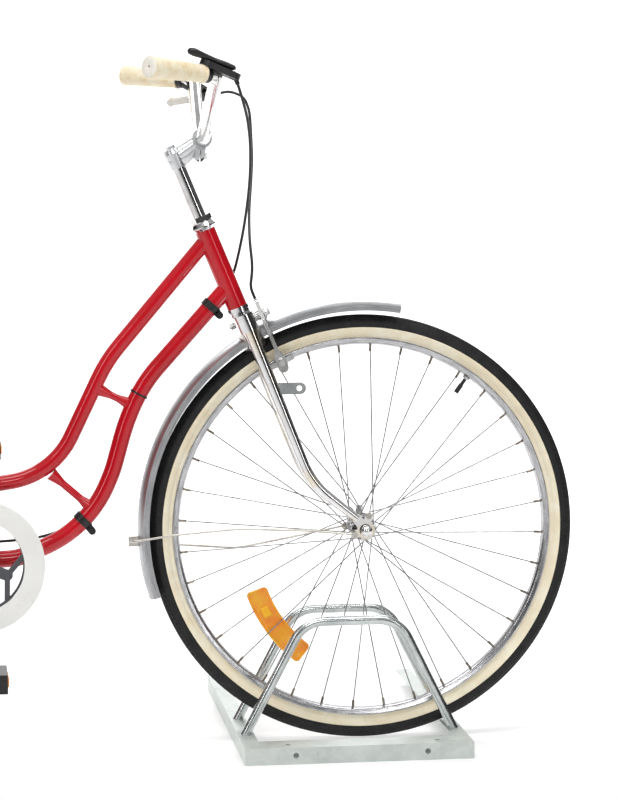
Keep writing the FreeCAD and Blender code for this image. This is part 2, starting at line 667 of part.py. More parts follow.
def pedal(axle, side, inner):
    """A pedal body: two tread bars, a barrel and two end plates."""
    low, high = sorted((inner, inner + side * PEDAL_WIDTH))
    half = PEDAL_LENGTH / 2
    tall = PEDAL_HEIGHT / 2
    parts = [disc(axle, 11, low, high)]
    for end_low, end_high in ((low, low + 7), (high - 7, high)):
        parts.append(block(Vec(axle.x - half, end_low, axle.z - tall), Vec(axle.x + half, end_high, axle.z + tall)))
    for sign in (-1, 1):
        x_low, x_high = sorted((axle.x + sign * half, axle.x + sign * (half - 17)))
        parts.append(block(Vec(x_low, low, axle.z - tall), Vec(x_high, high, axle.z + tall)))
    bore_low, bore_high = sorted((inner - side * 2, inner + side * (PEDAL_WIDTH - 5)))
    return [joined(parts).cut(disc(axle, 5 + RUN, bore_low, bore_high))]


# ---- Fork and steering --------------------------------------------------------------
STEERER_RADIUS = 12.7
STEERER_BORE = 11.2
QUILL_RADIUS = 11.1
CROWN_TOP = -11.0
CROWN_FOOT = -40.0
BOLT_UP = -26.0
BLADE_TOP_Y = 40.0
FORK_END_IN = 50.0
FORK_END_OUT = 55.0
EYELETS = (at(4.3, 23.8), at(-19.8, -5.5))
STEM_CLAMP = steer(273, 52)
BAR_RADIUS = 11.1
BAR_BEND = 30.0
BAR_CORNER = at(-248, 731, -212)
BAR_END = at(-358.6, 743.5, -301)
GRIP_START = 31.0
CLAMP_AT = 25.0


def fork_steerer():
    """The steerer tube and the fork crown, brazed together."""
    tube = rod(steer(CROWN_FOOT), steer(158), STEERER_RADIUS)
    crown = strap([steer(CROWN_FOOT, 0, -BLADE_TOP_Y), steer(CROWN_FOOT, 0, BLADE_TOP_Y)], 16.5,
                  STEER_UP * (CROWN_TOP - CROWN_FOOT))
    race = rod(steer(CROWN_TOP), steer(-6.4), 17)
    whole = joined([tube, crown, race])
    bore = rod(steer(CROWN_FOOT - 1), steer(160), STEERER_BORE)
    bolt_hole = rod(steer(BOLT_UP, -30), steer(BOLT_UP, 30), 3 + RUN)
    return [whole.cut([bore, bolt_hole])]


def fork_blades():
    """Two tapered blades with a forward bend, each with its flat fork end."""
    top = steer(CROWN_FOOT + 3, 1.5, -BLADE_TOP_Y)
    corner = at(-86.8, 76.9, -49)
    end = at(-14, 18.7, -52.5)
    bend_radius = 140.0
    half_turn = (math.pi - (top - corner).getAngle(end - corner)) / 2
    reach = bend_radius * math.tan(half_turn)
    bend_start = corner + unit(top - corner) * reach
    bend_end = corner + unit(end - corner) * reach
    upper = cone(top, bend_start, 11.2, 8.2)
    bend = bent_rod([bend_start, corner, bend_end], [bend_radius * 0.999], 8.2)
    lower = cone(bend_end, end, 8.2, 6.4)
    plate = joined([disc(FRONT_AXLE, 14.5, -FORK_END_OUT, -FORK_END_IN),
                    strap([FRONT_AXLE - LEFT * FORK_END_OUT, at(-14, 18.7, -FORK_END_OUT)], 8, LEFT * 5),
                    strap([FRONT_AXLE - LEFT * FORK_END_OUT, EYELETS[0] - LEFT * FORK_END_OUT], 6, LEFT * 5),
                    strap([FRONT_AXLE - LEFT * FORK_END_OUT, EYELETS[1] - LEFT * FORK_END_OUT], 6, LEFT * 5)])
    holes = [disc(FRONT_AXLE, 4.75, -100, 0)] + [disc(eyelet, 2.6, -100, 0) for eyelet in EYELETS]
    blade = largest(joined([upper, bend, lower, plate]).cut(holes + fork_steerer()))
    return [blade, mirrored(blade)]


def headset_nuts():
    """The adjusting cone, keyed washer and locknut on the steerer."""
    adjuster = cone(steer(142.4), steer(148.5), 20, 16.5).cut(rod(steer(140), steer(150), STEERER_RADIUS + RUN))
    washer = sleeve(steer(148.6), steer(150), 17, STEERER_RADIUS + RUN)
    locknut = hexagon(steer(150.1), STEER_UP, 32, 8).cut(rod(steer(150), steer(160), STEERER_RADIUS + RUN))
    return [adjuster, washer, locknut]


def stem():
    """The quill stem with its clamp, the expander bolt's head and the clamp bolt."""
    quill = rod(steer(90), steer(244), QUILL_RADIUS)
    body = joined([cone(steer(243), steer(268), QUILL_RADIUS + 1.4, QUILL_RADIUS + 3.5),
                   Part.makeCone(QUILL_RADIUS + 3.5, QUILL_RADIUS + 2, 8, steer(268), STEER_UP)])
    arm_start = steer(262, 2)
    neck = cone(arm_start, STEM_CLAMP, 12.5, 11)
    ring = disc(STEM_CLAMP, 15.8, -18, 18)
    lug_top = steer(262, 46, -11)
    lug = strap([lug_top, steer(247, 37, -11)], 8, LEFT * 22)
    whole = joined([quill, body, neck, ring, lug])
    slot = strap([steer(262, 46, -20), steer(236, 32, -20)], 1.0, LEFT * 40)
    bolt_axis = unit(steer(247, 37).sub(STEM_CLAMP).cross(LEFT))
    bolt_middle = steer(249, 38.5)
    bolt_hole = rod(bolt_middle - bolt_axis * 30, bolt_middle + bolt_axis * 30, 3 + RUN)
    room = [rod(bolt_middle + bolt_axis * side * 8.3, bolt_middle + bolt_axis * side * 22, 7) for side in (-1, 1)]
    whole = whole.cut([disc(STEM_CLAMP, BAR_RADIUS + RUN, -30, 30), slot, bolt_hole] + room)
    bolt = joined([rod(bolt_middle - bolt_axis * 12, bolt_middle + bolt_axis * 12, 3),
                   hexagon(bolt_middle + bolt_axis * 8.4, bolt_axis, 10, 5),
                   hexagon(bolt_middle - bolt_axis * 8.4, bolt_axis * -1, 10, 5)])
    expander = hexagon(steer(276.1), STEER_UP, 13, 5)
    return [largest(whole), bolt, expander]


def bar_point(distance, side=-1):
    """A point on the straight hand end of the bar, from its bend."""
    point = BAR_CORNER + unit(BAR_END - BAR_CORNER) * distance
    return point if side < 0 else other_side(point)


def handlebar():
    """A swept-back bar of one bent tube."""
    right = [BAR_END + unit(BAR_CORNER - BAR_END) * 6, BAR_CORNER, STEM_CLAMP - LEFT * 34]
    left = [other_side(point) for point in reversed(right)]
    return [bent_tube(right + left, [BAR_BEND, 34, 34, BAR_BEND], BAR_RADIUS, BAR_RADIUS - 1.6)]


def grips():
    """Two tapered grips with closed ends."""
    length = (BAR_END - BAR_CORNER).Length
    along = unit(BAR_END - BAR_CORNER)
    start = bar_point(GRIP_START)
    body = joined([cone(start, bar_point(length - 12), 13.8, 16.8),
                   rod(bar_point(length - 12.01), bar_point(length), 16.8),
                   rod(start, start + along * 4, 15)])
    body = body.cut([rod(bar_point(0), bar_point(length - 5.9), BAR_RADIUS + RUN),
                     rod(bar_point(length - 10), bar_point(length + 5), 2.2)])
    return [body, mirrored(body)]


def clamp_band(side):
    """A narrow band round the bar beside a grip."""
    low = bar_point(CLAMP_AT - 4.5, side)
    high = bar_point(CLAMP_AT + 4.5, side)
    return rod(low, high, BAR_RADIUS + 2.4)


def bar_core(side):
    """The room that the bar takes, from its hand end to its middle."""
    path = [BAR_END, BAR_CORNER, STEM_CLAMP - LEFT * 34]
    core = bent_rod(path, [BAR_BEND], BAR_RADIUS + RUN)
    return core if side < 0 else mirrored(core)


# The hand brake: its pivot, and the line from the blade's tip to the grip it is pulled to.
LEVER_PIVOT = at(-226, 706, 196)
LEVER_KNEE = at(-248, 702, 220)
LEVER_TIP = at(-282, 697, 276)
LEVER_TRAVEL = 15.0
LEVER_PULL = unit((bar_point(70, 1) - LEVER_TIP).cross(LEVER_PIVOT - LEVER_TIP))


def lever_blade(half_width, half_depth):
    """The lever's flat outline, bent at its knee."""
    points = [point - LEVER_PULL * half_depth for point in (LEVER_PIVOT, LEVER_KNEE, LEVER_TIP)]
    return strap(points, half_width, LEVER_PULL * (2 * half_depth))


def lever_room(turn):
    """The room that the lever needs at one angle of its travel."""
    room = lever_blade(8, 4.2)
    room.rotate(LEVER_PIVOT, LEVER_PULL, turn)
    return room


def brake_bracket():
    """The left bracket: a clamp band and a body with two ears round the lever's root."""
    root = bar_point(CLAMP_AT, 1)
    nose = LEVER_PIVOT + unit(LEVER_PIVOT - root) * 4
    depth = LEVER_PULL * 9
    body = joined([clamp_band(1), cone(root, nose, 11, 9)])
    axis_low = LEVER_PIVOT - depth
    ears = strap([axis_low, axis_low + (root - LEVER_PIVOT) * 0.5], 8, depth * 2)
    body = joined([body, ears])
    room = rod(LEVER_PIVOT - LEVER_PULL * 4.2, LEVER_PIVOT + LEVER_PULL * 4.2, 14)
    ways_out = [lever_room(turn) for turn in (0, 4, 8, 12, LEVER_TRAVEL)]
    pin_hole = rod(LEVER_PIVOT - LEVER_PULL * 12, LEVER_PIVOT + LEVER_PULL * 12, 2.2 + RUN)
    body = largest(body.cut([room, pin_hole] + ways_out).cut(bar_core(1)))
    pin = rod(LEVER_PIVOT - LEVER_PULL * 9.5, LEVER_PIVOT + LEVER_PULL * 9.5, 2.2)
    return [body, pin]


def brake_lever():
    """The lever blade with a rounded, thicker end."""
    blade = lever_blade(5, 3.8)
    root = rod(LEVER_PIVOT - LEVER_PULL * 3.8, LEVER_PIVOT + LEVER_PULL * 3.8, 7)
    tip = rod(LEVER_TIP - LEVER_PULL * 4.8, LEVER_TIP + LEVER_PULL * 4.8, 6.5)
    hole = rod(LEVER_PIVOT - LEVER_PULL * 10, LEVER_PIVOT + LEVER_PULL * 10, 2.2 + 0.08)
    return [joined([blade, root, tip]).cut(hole)]


# The thumb shifter: its housing lies over the bend of the right bar.
SHIFTER_REAR = at(-262, 752, -228)
SHIFTER_FRONT = at(-224, 736, -219)
SHIFTER_AXIS = unit(Vec(0.24, -1, 0).cross(SHIFTER_FRONT - SHIFTER_REAR))
SHIFTER_PIVOT = at(-233, 739.8, -221.2)
SHIFTER_TIP = at(-288, 764.5, -240)
NOSE_END = at(-220, 727, -216)
BOOT_END = at(-216.5, 717, -215)


def shifter_body():
    """The gear shifter's housing, its band, its cable nose and boot."""
    housing = strap([SHIFTER_REAR, SHIFTER_FRONT], 13, SHIFTER_AXIS * -10)
    nose = cone(SHIFTER_FRONT - SHIFTER_AXIS * 4, NOSE_END, 7, 5)
    body = joined([housing, nose, clamp_band(-1)])
    post_hole = rod(SHIFTER_PIVOT - SHIFTER_AXIS * 3.8, SHIFTER_PIVOT + SHIFTER_AXIS * 20, 3 + 0.08)
    grip_room = rod(bar_point(GRIP_START - 0.3), bar_point(GRIP_START + 30), 15.3)
    body = largest(body.cut([post_hole, grip_room]).cut(bar_core(-1)))
    boot = cone(NOSE_END, BOOT_END, 4.4, 3.2).cut(body)
    return [body, largest(boot)]


def shift_lever():
    """The shifter's thumb lever on its own pivot post."""
    foot = SHIFTER_PIVOT + SHIFTER_AXIS * 1.2
    reach = SHIFTER_TIP - foot
    flat = foot + (reach - SHIFTER_AXIS * reach.dot(SHIFTER_AXIS))
    blade = strap([foot, flat], 6.2, SHIFTER_AXIS * 6)
    hub = rod(foot, foot + SHIFTER_AXIS * 6, 11)
    post = rod(SHIFTER_PIVOT - SHIFTER_AXIS * 3.4, foot + SHIFTER_AXIS, 3)
    return [joined([blade, hub, post])]


# ---- Front brake --------------------------------------------------------------------
PAD_UP = -109.0
PAD_GAP = 2.6
RIM_HALF_WIDTH = 12.5
RIGHT_ARM_FORWARD = 26.0
LEFT_ARM_FORWARD = 33.0
ARM_DEPTH = 6.0
CABLE_SIDE = -38.0
HORN_UP = -2.0


def caliper_bolt():
    """The brake's centre bolt with its spacer, nuts and the plate that carries the fender."""
    bolt = rod(steer(BOLT_UP, -25), steer(BOLT_UP, 45), 3)
    room = rod(steer(BOLT_UP, -30), steer(BOLT_UP, 50), 3 + RUN)
    spacer = sleeve(steer(BOLT_UP, 19.6), steer(BOLT_UP, 25.6), 8, 3 + RUN)
    parts = [bolt, spacer]
    for start, direction in ((-16.6, -1), (39.6, 1)):
        nut = hexagon(steer(BOLT_UP, start), STEER_FORWARD * direction, 10, 6)
        parts.append(nut.cut(room))
    plate = strap([steer(BOLT_UP, 16.8), steer(BOLT_UP - 13.5, 16.8)], 9, STEER_FORWARD * 2)
    parts.append(largest(plate.cut([room, fender_room()])))
    return parts


def fender_room():
    """The space inside the front fender's outer surface."""
    outline = [((FENDER_RADIUS + 0.1, -30),), ((FENDER_RADIUS + 0.1, 30),), ((200, 30),), ((200, -30),)]
    return turned(FENDER_CENTRE, radial_face(FENDER_CENTRE, (200, -30), outline), 80, 118)


def caliper_arm(points, forward):
    """A flat arm on the centre bolt, with a slotted foot for the shoe."""
    places = [steer(up, forward, left) for left, up in points]
    arm = strap(places, 6, STEER_FORWARD * ARM_DEPTH)
    boss = rod(steer(BOLT_UP, forward), steer(BOLT_UP, forward + ARM_DEPTH), 9)
    return joined([arm, boss]).cut(rod(steer(BOLT_UP, -30), steer(BOLT_UP, 60), 3 + 0.08))


def slotted_foot(side, forward):
    """The flat holder at an arm's end, slotted for the shoe's stud."""
    y = side * 33.0
    top = steer(PAD_UP + 12, forward + 3, y - 2)
    foot = steer(PAD_UP - 8, forward + 3, y - 2)
    plate = strap([top, foot], 8, LEFT * 4)
    slot = strap([steer(PAD_UP + 11, forward + 3, y - 5), steer(PAD_UP - 3, forward + 3, y - 5)], 3.2, LEFT * 10)
    return plate, slot


def right_caliper_arm():
    """The right arm carries the cable's casing above the bolt."""
    plate, slot = slotted_foot(-1, RIGHT_ARM_FORWARD)
    arm = caliper_arm([(0, BOLT_UP), (-31, -33), (-34, -60), (-34, PAD_UP + 10)], RIGHT_ARM_FORWARD)
    horn = strap([steer(-33, RIGHT_ARM_FORWARD, -31), steer(HORN_UP, RIGHT_ARM_FORWARD, CABLE_SIDE)], 5.5,
                 STEER_FORWARD * ARM_DEPTH)
    seat_hole = rod(steer(-12, RIGHT_ARM_FORWARD + 3, CABLE_SIDE), steer(30, RIGHT_ARM_FORWARD + 3, CABLE_SIDE),
                    1.4)
    return [joined([arm, plate, horn]).cut([slot, seat_hole])]


def left_caliper_arm():
    """The left arm crosses the bolt and holds the cable's wire below the casing."""
    plate, slot = slotted_foot(1, LEFT_ARM_FORWARD)
    arm = caliper_arm([(CABLE_SIDE, -22), (-18, -24), (0, BOLT_UP), (31, -33), (34, -60), (34, PAD_UP + 10)],
                      LEFT_ARM_FORWARD)
    return [joined([arm, plate]).cut(slot)]


def brake_pad(side, forward):
    """A rubber shoe in its holder, with the stud and nut that clamp it in the slot."""
    centre = steer(PAD_UP, forward + 3)
    middle = centre - FRONT_AXLE
    along = unit(Vec(-middle.z, 0, middle.x))
    inner = RIM_HALF_WIDTH + PAD_GAP
    low, high = sorted((side * inner, side * (inner + 9)))
    shoe = strap([centre - along * 19 + LEFT * low, centre + along * 19 + LEFT * low], 4.4, LEFT * (high - low))
    stud_low, stud_high = sorted((side * (inner + 8.9), side * 42))
    stud = disc(centre, 2.9, stud_low, stud_high)
    collar_low, collar_high = sorted((side * (inner + 8.9), side * 30.6))
    collar = disc(centre, 5.5, collar_low, collar_high)
    nut = hexagon(centre + LEFT * side * 35.3, LEFT * side, 10, 5)
    return [joined([shoe, stud, collar, nut])]


# ---- Cables -------------------------------------------------------------------------
CABLE_RADIUS = 2.3


def brake_cable():
    """From the left lever's bracket, over and down to the right arm of the front brake."""
    route = [LEVER_PIVOT + Vec(13, -1, 3), at(-190, 714, 199), at(-167, 704, 183), at(-160.5, 680, 158),
             at(-161.5, 645, 130), at(-164, 600, 92), at(-170, 560, 58), at(-177, 515, 26), at(-179.5, 470, -4),
             at(-177, 428, -24), steer(24, RIGHT_ARM_FORWARD + 3, CABLE_SIDE),
             steer(HORN_UP + 6.1, RIGHT_ARM_FORWARD + 3, CABLE_SIDE)]
    return [cable("brake_cable", route, CABLE_RADIUS)]


CABLE_LEFT = 19.4
UPPER_CABLE_END = at(-222, 378, CABLE_LEFT)


def shift_cable_upper():
    """The gear cable's free stretch, from the shifter's boot to the frame."""
    route = [BOOT_END + Vec(0.4, 0, -1.2), at(-209, 696, -205), at(-198, 666, -174), at(-190, 628, -136),
             at(-186.5, 580, -96), at(-187.5, 532, -58), at(-191.5, 484, -20), at(-196.5, 448, 8),
             at(-203, 418, CABLE_LEFT), UPPER_CABLE_END]
    return [cable("shift_cable_upper", route, CABLE_RADIUS)]


def shift_cable_lower():
    """The gear cable along the left of the lower tube and the chain stay, to the rear hub."""
    route = [UPPER_CABLE_END + Vec(-0.7, 0, -1.1), at(-248, 352, 18.8), at(-290, 311, 18.6), at(-330, 267, 18.6),
             at(-362, 220, 18.6), at(-386, 160, 18.6), at(-406, 100, 18.6), at(-432, 44, 18.6), at(-470, 10, 19),
             at(-520, -8, 24), at(-580, -14, 29), at(-650, -15, 32), at(-720, -18, 44), at(-800, -22, 58),
             at(-880, -12, 70), at(-960, -2, 78), at(-1040, 2, 80), REAR_AXLE + Vec(16, 76, 4),
             REAR_AXLE + Vec(8, 76, 0)]
    return [cable("shift_cable_lower", route, CABLE_RADIUS)]


# ---- Front fender stays, lamp bracket and axle --------------------------------------
def front_fender_stays():
    """One wire from fork end to fork end round the back of the fender, its clip and its screws."""
    right = [at(-19.8, -5.5, -58.5), at(-90, 2, -55), at(-205, 7, -47), at(-310, -2, -37), at(-378, -13, -28)]
    left = [at(-378, -17, 28), at(-305, -27, 38), at(-200, -37, 48), at(-110, -22, 54), at(-19.8, -5.5, 58.5)]
    wire = bent_rod(right + left, [200, 200, 120, 17, 17, 120, 120, 90], 1.9)
    parts = [wire]
    clip = block(at(-382, -23, -5), at(-363, -7, 5))
    parts.append(largest(clip.cut(fender_room()).cut(wire)))
    for side in (-1, 1):
        centre = EYELETS[1]
        low, high = sorted((side * 50.5, side * 64))
        head_low, head_high = sorted((side * 60.5, side * 64))
        screw = joined([disc(centre, 2.5, low, high), disc(centre, 5, head_low, head_high)])
        parts.append(largest(screw.cut(wire)))
        spare_low, spare_high = sorted((side * 50.5, side * 59))
        cap_low, cap_high = sorted((side * 55.1, side * 59))
        parts.append(joined([disc(EYELETS[0], 2.5, spare_low, spare_high), disc(EYELETS[0], 5, cap_low, cap_high)]))
    return parts


def lamp_bracket():
    """A flat tab with a round eye, brazed to the front of the right blade."""
    low = -44.0
    tab = block(at(-141, 223, low), at(-112, 242, low + 2))
    eye = strap([at(-112, 232.5, low), at(-104, 232.5, low)], 9.5, LEFT * 2)
    whole = joined([tab, eye]).cut(disc(at(-105.5, 232.5), 4.5, -60, 0))
    return [largest(whole.cut(fork_blades()[0]))]


def front_axle():
    """The axle, its cones and its domed nuts."""
    parts = [disc(FRONT_AXLE, 4.7, -62, 62)]
    for side in (-1, 1):
        low, high = sorted((side * 28, side * 36.5))
        nose = disc(FRONT_AXLE, 8, low, high)
        low, high = sorted((side * 36.4, side * (FORK_END_IN - 0.05)))
        nut = disc(FRONT_AXLE, 9.5, low, high)
        parts.append(joined([nose, nut]).cut(disc(FRONT_AXLE, 4.75, -70, 70)))
        out = FRONT_AXLE + LEFT * side * (FORK_END_OUT + 0.05)
        dome = Part.makeSphere(10, out + LEFT * side * 5)
        beyond = rod(out + LEFT * side * 6, out + LEFT * side * 20, 12)
        cap = joined([hexagon(out, LEFT * side, 17, 7), dome.common(beyond)])
        parts.append(cap.cut(rod(FRONT_AXLE, FRONT_AXLE + LEFT * side * 62.05, 4.75)))
    return parts


# ---- Wheels -------------------------------------------------------------------------
RIM_OUTER = 316.0
RIM_INNER = 299.5
NIPPLE_RADIUS = 2.0


def tyre(axle):
    """An open-backed tyre section swept round the wheel."""
    half = TYRE_HALF_WIDTH
    wall = 2.7
    start = (307, -10.7)
    steps = [((316.4, -10.7),), ((322, -15.6), (330, -half)), ((342.4, -12.6), (TYRE_RADIUS, 0)),
             ((342.4, 12.6), (330, half)), ((322, 15.6), (316.4, 10.7)), ((307, 10.7),), ((307, 8.2),),
             ((317.4, 8.2),), ((322.6, 12.8), (330, half - wall)), ((339.8, 10.4), (344, 0)),
             ((339.8, -10.4), (330, wall - half)), ((322.6, -12.8), (317.4, -8.2)), ((307, -8.2),), (start,)]
    return [turned(axle, radial_face(axle, start, steps))]


def inner_tube(axle, valve_angle):
    """The air tube, with its valve stem and cap through the rim."""
    centre = 329.0
    ring = Part.makeTorus(centre, 12.6, axle, LEFT).cut(Part.makeTorus(centre, 11.4, axle, LEFT))
    stem_start = around(axle, centre - 12.2, valve_angle)
    stem = rod(stem_start, around(axle, 272, valve_angle), 3)
    nut = rod(around(axle, 298.9, valve_angle), around(axle, 295.5, valve_angle), 6)
    cap = rod(around(axle, 284, valve_angle), around(axle, 268, valve_angle), 3.9)
    return [joined([ring, stem, nut, cap])]


def rim(axle, valve_angle, phase):
    """A channel section with a hole for the valve and for each nipple."""
    start = (RIM_OUTER, -12.5)
    steps = [((304, -12.5),), ((RIM_INNER, 0), (304, 12.5)), ((RIM_OUTER, 12.5),), ((RIM_OUTER, 11),),
             ((305.5, 11),), ((301.2, 0), (305.5, -11)), ((RIM_OUTER, -11),), (start,)]
    ring = turned(axle, radial_face(axle, start, steps))
    holes = [rod(around(axle, 290, valve_angle), around(axle, 312, valve_angle), 3.2)]
    for spoke in range(SPOKES):
        angle = phase + spoke * 360.0 / SPOKES
        holes.append(rod(around(axle, 290, angle, rim_offset(spoke)), around(axle, 312, angle, rim_offset(spoke)),
                         NIPPLE_RADIUS + RUN))
    return [ring.cut(holes)]


def rim_offset(spoke):
    """Nipples stand a little to the side that their spoke goes to."""
    return 1.6 if spoke % 2 else -1.6


def spoke_turn(spoke):
    """Pairs of spokes lean forwards and backwards from the hub in turn, in degrees."""
    return 60 if ((spoke + 1) // 2) % 2 else -60


def spokes(axle, flange_y, flange_radius, phase):
    """Tangent spokes, three across, each with its bent head and its nipple."""
    pieces = []
    per_side = SPOKES // 2
    for spoke in range(SPOKES):
        side = 1 if spoke % 2 else -1
        turn = spoke_turn(spoke)
        rim_angle = phase + spoke * 360.0 / SPOKES
        flange_angle = rim_angle - turn
        face = 1 if turn > 0 else -1
        flange_at = side * (flange_y + (3.1 if face > 0 else -2.3))
        elbow = around(axle, flange_radius, flange_angle, flange_at)
        end = around(axle, 296, rim_angle, rim_offset(spoke))
        head_at = around(axle, flange_radius, flange_angle, side * (flange_y - face * 1.5))
        head_end = head_at - LEFT * side * face
        wire = joined([rod(elbow, end, 1.0), Part.makeSphere(1.0, elbow), rod(elbow, head_at, 1.0),
                       rod(head_at, head_end, 1.8)])
        pieces.append(wire.cut(rod(around(axle, 288, rim_angle, rim_offset(spoke)),
                                   around(axle, 304, rim_angle, rim_offset(spoke)), NIPPLE_RADIUS)))
        nipple = joined([rod(around(axle, 288, rim_angle, rim_offset(spoke)),
                             around(axle, 302.6, rim_angle, rim_offset(spoke)), NIPPLE_RADIUS),
                         rod(around(axle, 302.5, rim_angle, rim_offset(spoke)),
                             around(axle, 304.2, rim_angle, rim_offset(spoke)), 3.0)])
        pieces.append(nipple)
    return pieces


def hub(axle, flange_y, flange_radius, barrel, bore, phase):
    """A hub shell with two drilled flanges."""
    rim_of_flange = flange_radius + 4
    half = flange_y + 1.2
    end = flange_y + 5
    start = (bore, -end)
    steps = [((barrel + 2, -end),), ((barrel + 2, -half),), ((rim_of_flange, -half),),
             ((rim_of_flange, -half + 2.4),), ((flange_radius - 3.8, -half + 2.4),), ((barrel + 0.4, -half + 5),),
             ((barrel, 0), (barrel + 0.4, half - 5)), ((flange_radius - 3.8, half - 2.4),),
             ((rim_of_flange, half - 2.4),), ((rim_of_flange, half),), ((barrel + 2, half),),
             ((barrel + 2, end),), ((bore, end),), (start,)]
    shell = turned(axle, radial_face(axle, start, steps))
    holes = []
    for spoke in range(SPOKES):
        side = 1 if spoke % 2 else -1
        turn = spoke_turn(spoke)
        angle = phase + spoke * 360.0 / SPOKES - turn
        low, high = sorted((side * (flange_y - 3), side * (flange_y + 3)))
        holes.append(rod(around(axle, flange_radius, angle, low), around(axle, flange_radius, angle, high), 1.15))
    return [shell.cut(holes)]


FRONT_PHASE = -13.2
REAR_PHASE = -13.2
FRONT_VALVE = 54.0
REAR_VALVE = 121.8
FRONT_FLANGE_Y = 31.0
FRONT_FLANGE_RADIUS = 16.5
REAR_FLANGE_Y = 30.0
REAR_FLANGE_RADIUS = 31.0
REFLECTOR_ANGLE = 123.6
REFLECTOR_DEPTH = 6.0


def wheel_reflector():
    """A slab with round corners clipped between the spokes of the front wheel."""
    centre = around(FRONT_AXLE, 213.7, 226)
    along = Vec(math.cos(math.radians(REFLECTOR_ANGLE)), 0, math.sin(math.radians(REFLECTOR_ANGLE)))
    out = Vec(along.z, 0, -along.x)
    corners = []
    for sign_along, sign_out in ((-1, -1), (1, -1), (1, 1), (-1, 1)):
        corners.append(centre + along * (sign_along * 50) + out * (sign_out * 8))
    parts = []
    for corner in corners:
        parts.append(disc(corner, 9, -REFLECTOR_DEPTH / 2, REFLECTOR_DEPTH / 2))
    for first, second in zip(corners, corners[1:] + corners[:1]):
        near = LEFT * (-REFLECTOR_DEPTH / 2)
        parts.append(strap([first + near, second + near], 9, LEFT * REFLECTOR_DEPTH))
    whole = joined(parts)
    return [whole]


def sprocket():
    return [toothed_disc(REAR_AXLE, SPROCKET_TEETH, CHAIN_SPROCKET_INNER - 0.7, CHAIN_SPROCKET_INNER - 5,
                         CHAIN_LINE - 1.2, CHAIN_LINE + 1.2).cut(disc(REAR_AXLE, 9.6, -100, 0))]


# ---- All the pieces -----------------------------------------------------------------
RIGHT_PEDAL_INNER = RIGHT_CRANK_IN - CRANK_DEPTH - PEDAL_GAP
LEFT_PEDAL_INNER = LEFT_CRANK_IN + CRANK_DEPTH + PEDAL_GAP


def all_nodes():
    """Every node's name and its solids."""
    return {
        "stand_base": stand_base(),
        "stand_hoops": stand_hoops(),
        "head_tube": head_tube(),
        "upper_tube": upper_tube(),
        "lower_tube": lower_tube(),
        "seat_tube": seat_tube(),
        "frame_struts": frame_struts(),
        "bottom_bracket_shell": bottom_bracket_shell(),
        "rear_stays": rear_stays(),
        "bearing_cups": bearing_cups(),
        "cable_clips": cable_clips(),
        "chain_guard": chain_guard(),
        "chain": chain(),
        "rear_fender": rear_fender(),
        "rear_fender_stays": rear_fender_stays(),
        "rear_axle": rear_axle(),
        "shift_cable_lower": shift_cable_lower(),
        "seat_post": seat_post(),
        "saddle": saddle(),
        "saddle_frame": saddle_frame(),
        "chainring": chainring(),
        "crank_arms": crank_arms(),
        "spindles": spindles(),
        "right_pedal": pedal(RIGHT_PEDAL_AXLE, -1, RIGHT_PEDAL_INNER),
        "left_pedal": pedal(LEFT_PEDAL_AXLE, 1, LEFT_PEDAL_INNER),
        "fork_steerer": fork_steerer(),
        "fork_blades": fork_blades(),
        "headset_nuts": headset_nuts(),
        "stem": stem(),
        "handlebar": handlebar(),
        "grips": grips(),
        "brake_bracket": brake_bracket(),
        "brake_lever": brake_lever(),
        "shifter_body": shifter_body(),
        "shift_lever": shift_lever(),
        "caliper_bolt": caliper_bolt(),
        "right_caliper_arm": right_caliper_arm(),
        "left_caliper_arm": left_caliper_arm(),
        "right_brake_pad": brake_pad(-1, RIGHT_ARM_FORWARD),
        "left_brake_pad": brake_pad(1, LEFT_ARM_FORWARD),
        "brake_cable": brake_cable(),
        "shift_cable_upper": shift_cable_upper(),
        "front_fender": front_fender(),
        "front_fender_stays": front_fender_stays(),
        "lamp_bracket": lamp_bracket(),
        "front_axle": front_axle(),
        "front_tyre": tyre(FRONT_AXLE),
        "front_inner_tube": inner_tube(FRONT_AXLE, FRONT_VALVE),
        "front_rim": rim(FRONT_AXLE, FRONT_VALVE, FRONT_PHASE),
        "front_spokes": spokes(FRONT_AXLE, FRONT_FLANGE_Y, FRONT_FLANGE_RADIUS, FRONT_PHASE),
        "front_hub": hub(FRONT_AXLE, FRONT_FLANGE_Y, FRONT_FLANGE_RADIUS, 11, 8 + RUN, FRONT_PHASE),
        "wheel_reflector": wheel_reflector(),
        "rear_tyre": tyre(REAR_AXLE),
        "rear_inner_tube": inner_tube(REAR_AXLE, REAR_VALVE),
        "rear_rim": rim(REAR_AXLE, REAR_VALVE, REAR_PHASE),
        "rear_spokes": spokes(REAR_AXLE, REAR_FLANGE_Y, REAR_FLANGE_RADIUS, REAR_PHASE),
        "rear_hub": hub(REAR_AXLE, REAR_FLANGE_Y, REAR_FLANGE_RADIUS, 24, 9 + RUN, REAR_PHASE),
        "sprocket": sprocket(),
    }


def main():
    os.makedirs("parts", exist_ok=True)
    for name, solids in all_nodes().items():
        for solid in solids:
            if not solid.isValid():
                print("not valid:", name)
        shape = solids[0] if len(solids) == 1 else Part.makeCompound(solids)
        shape.translate(ROW_SHIFT)
        shape.exportStep(os.path.join("parts", name + ".step"))


main()
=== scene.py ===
import json
import math

import bmesh
import bpy
import numpy as np
from mathutils import Matrix, Vector


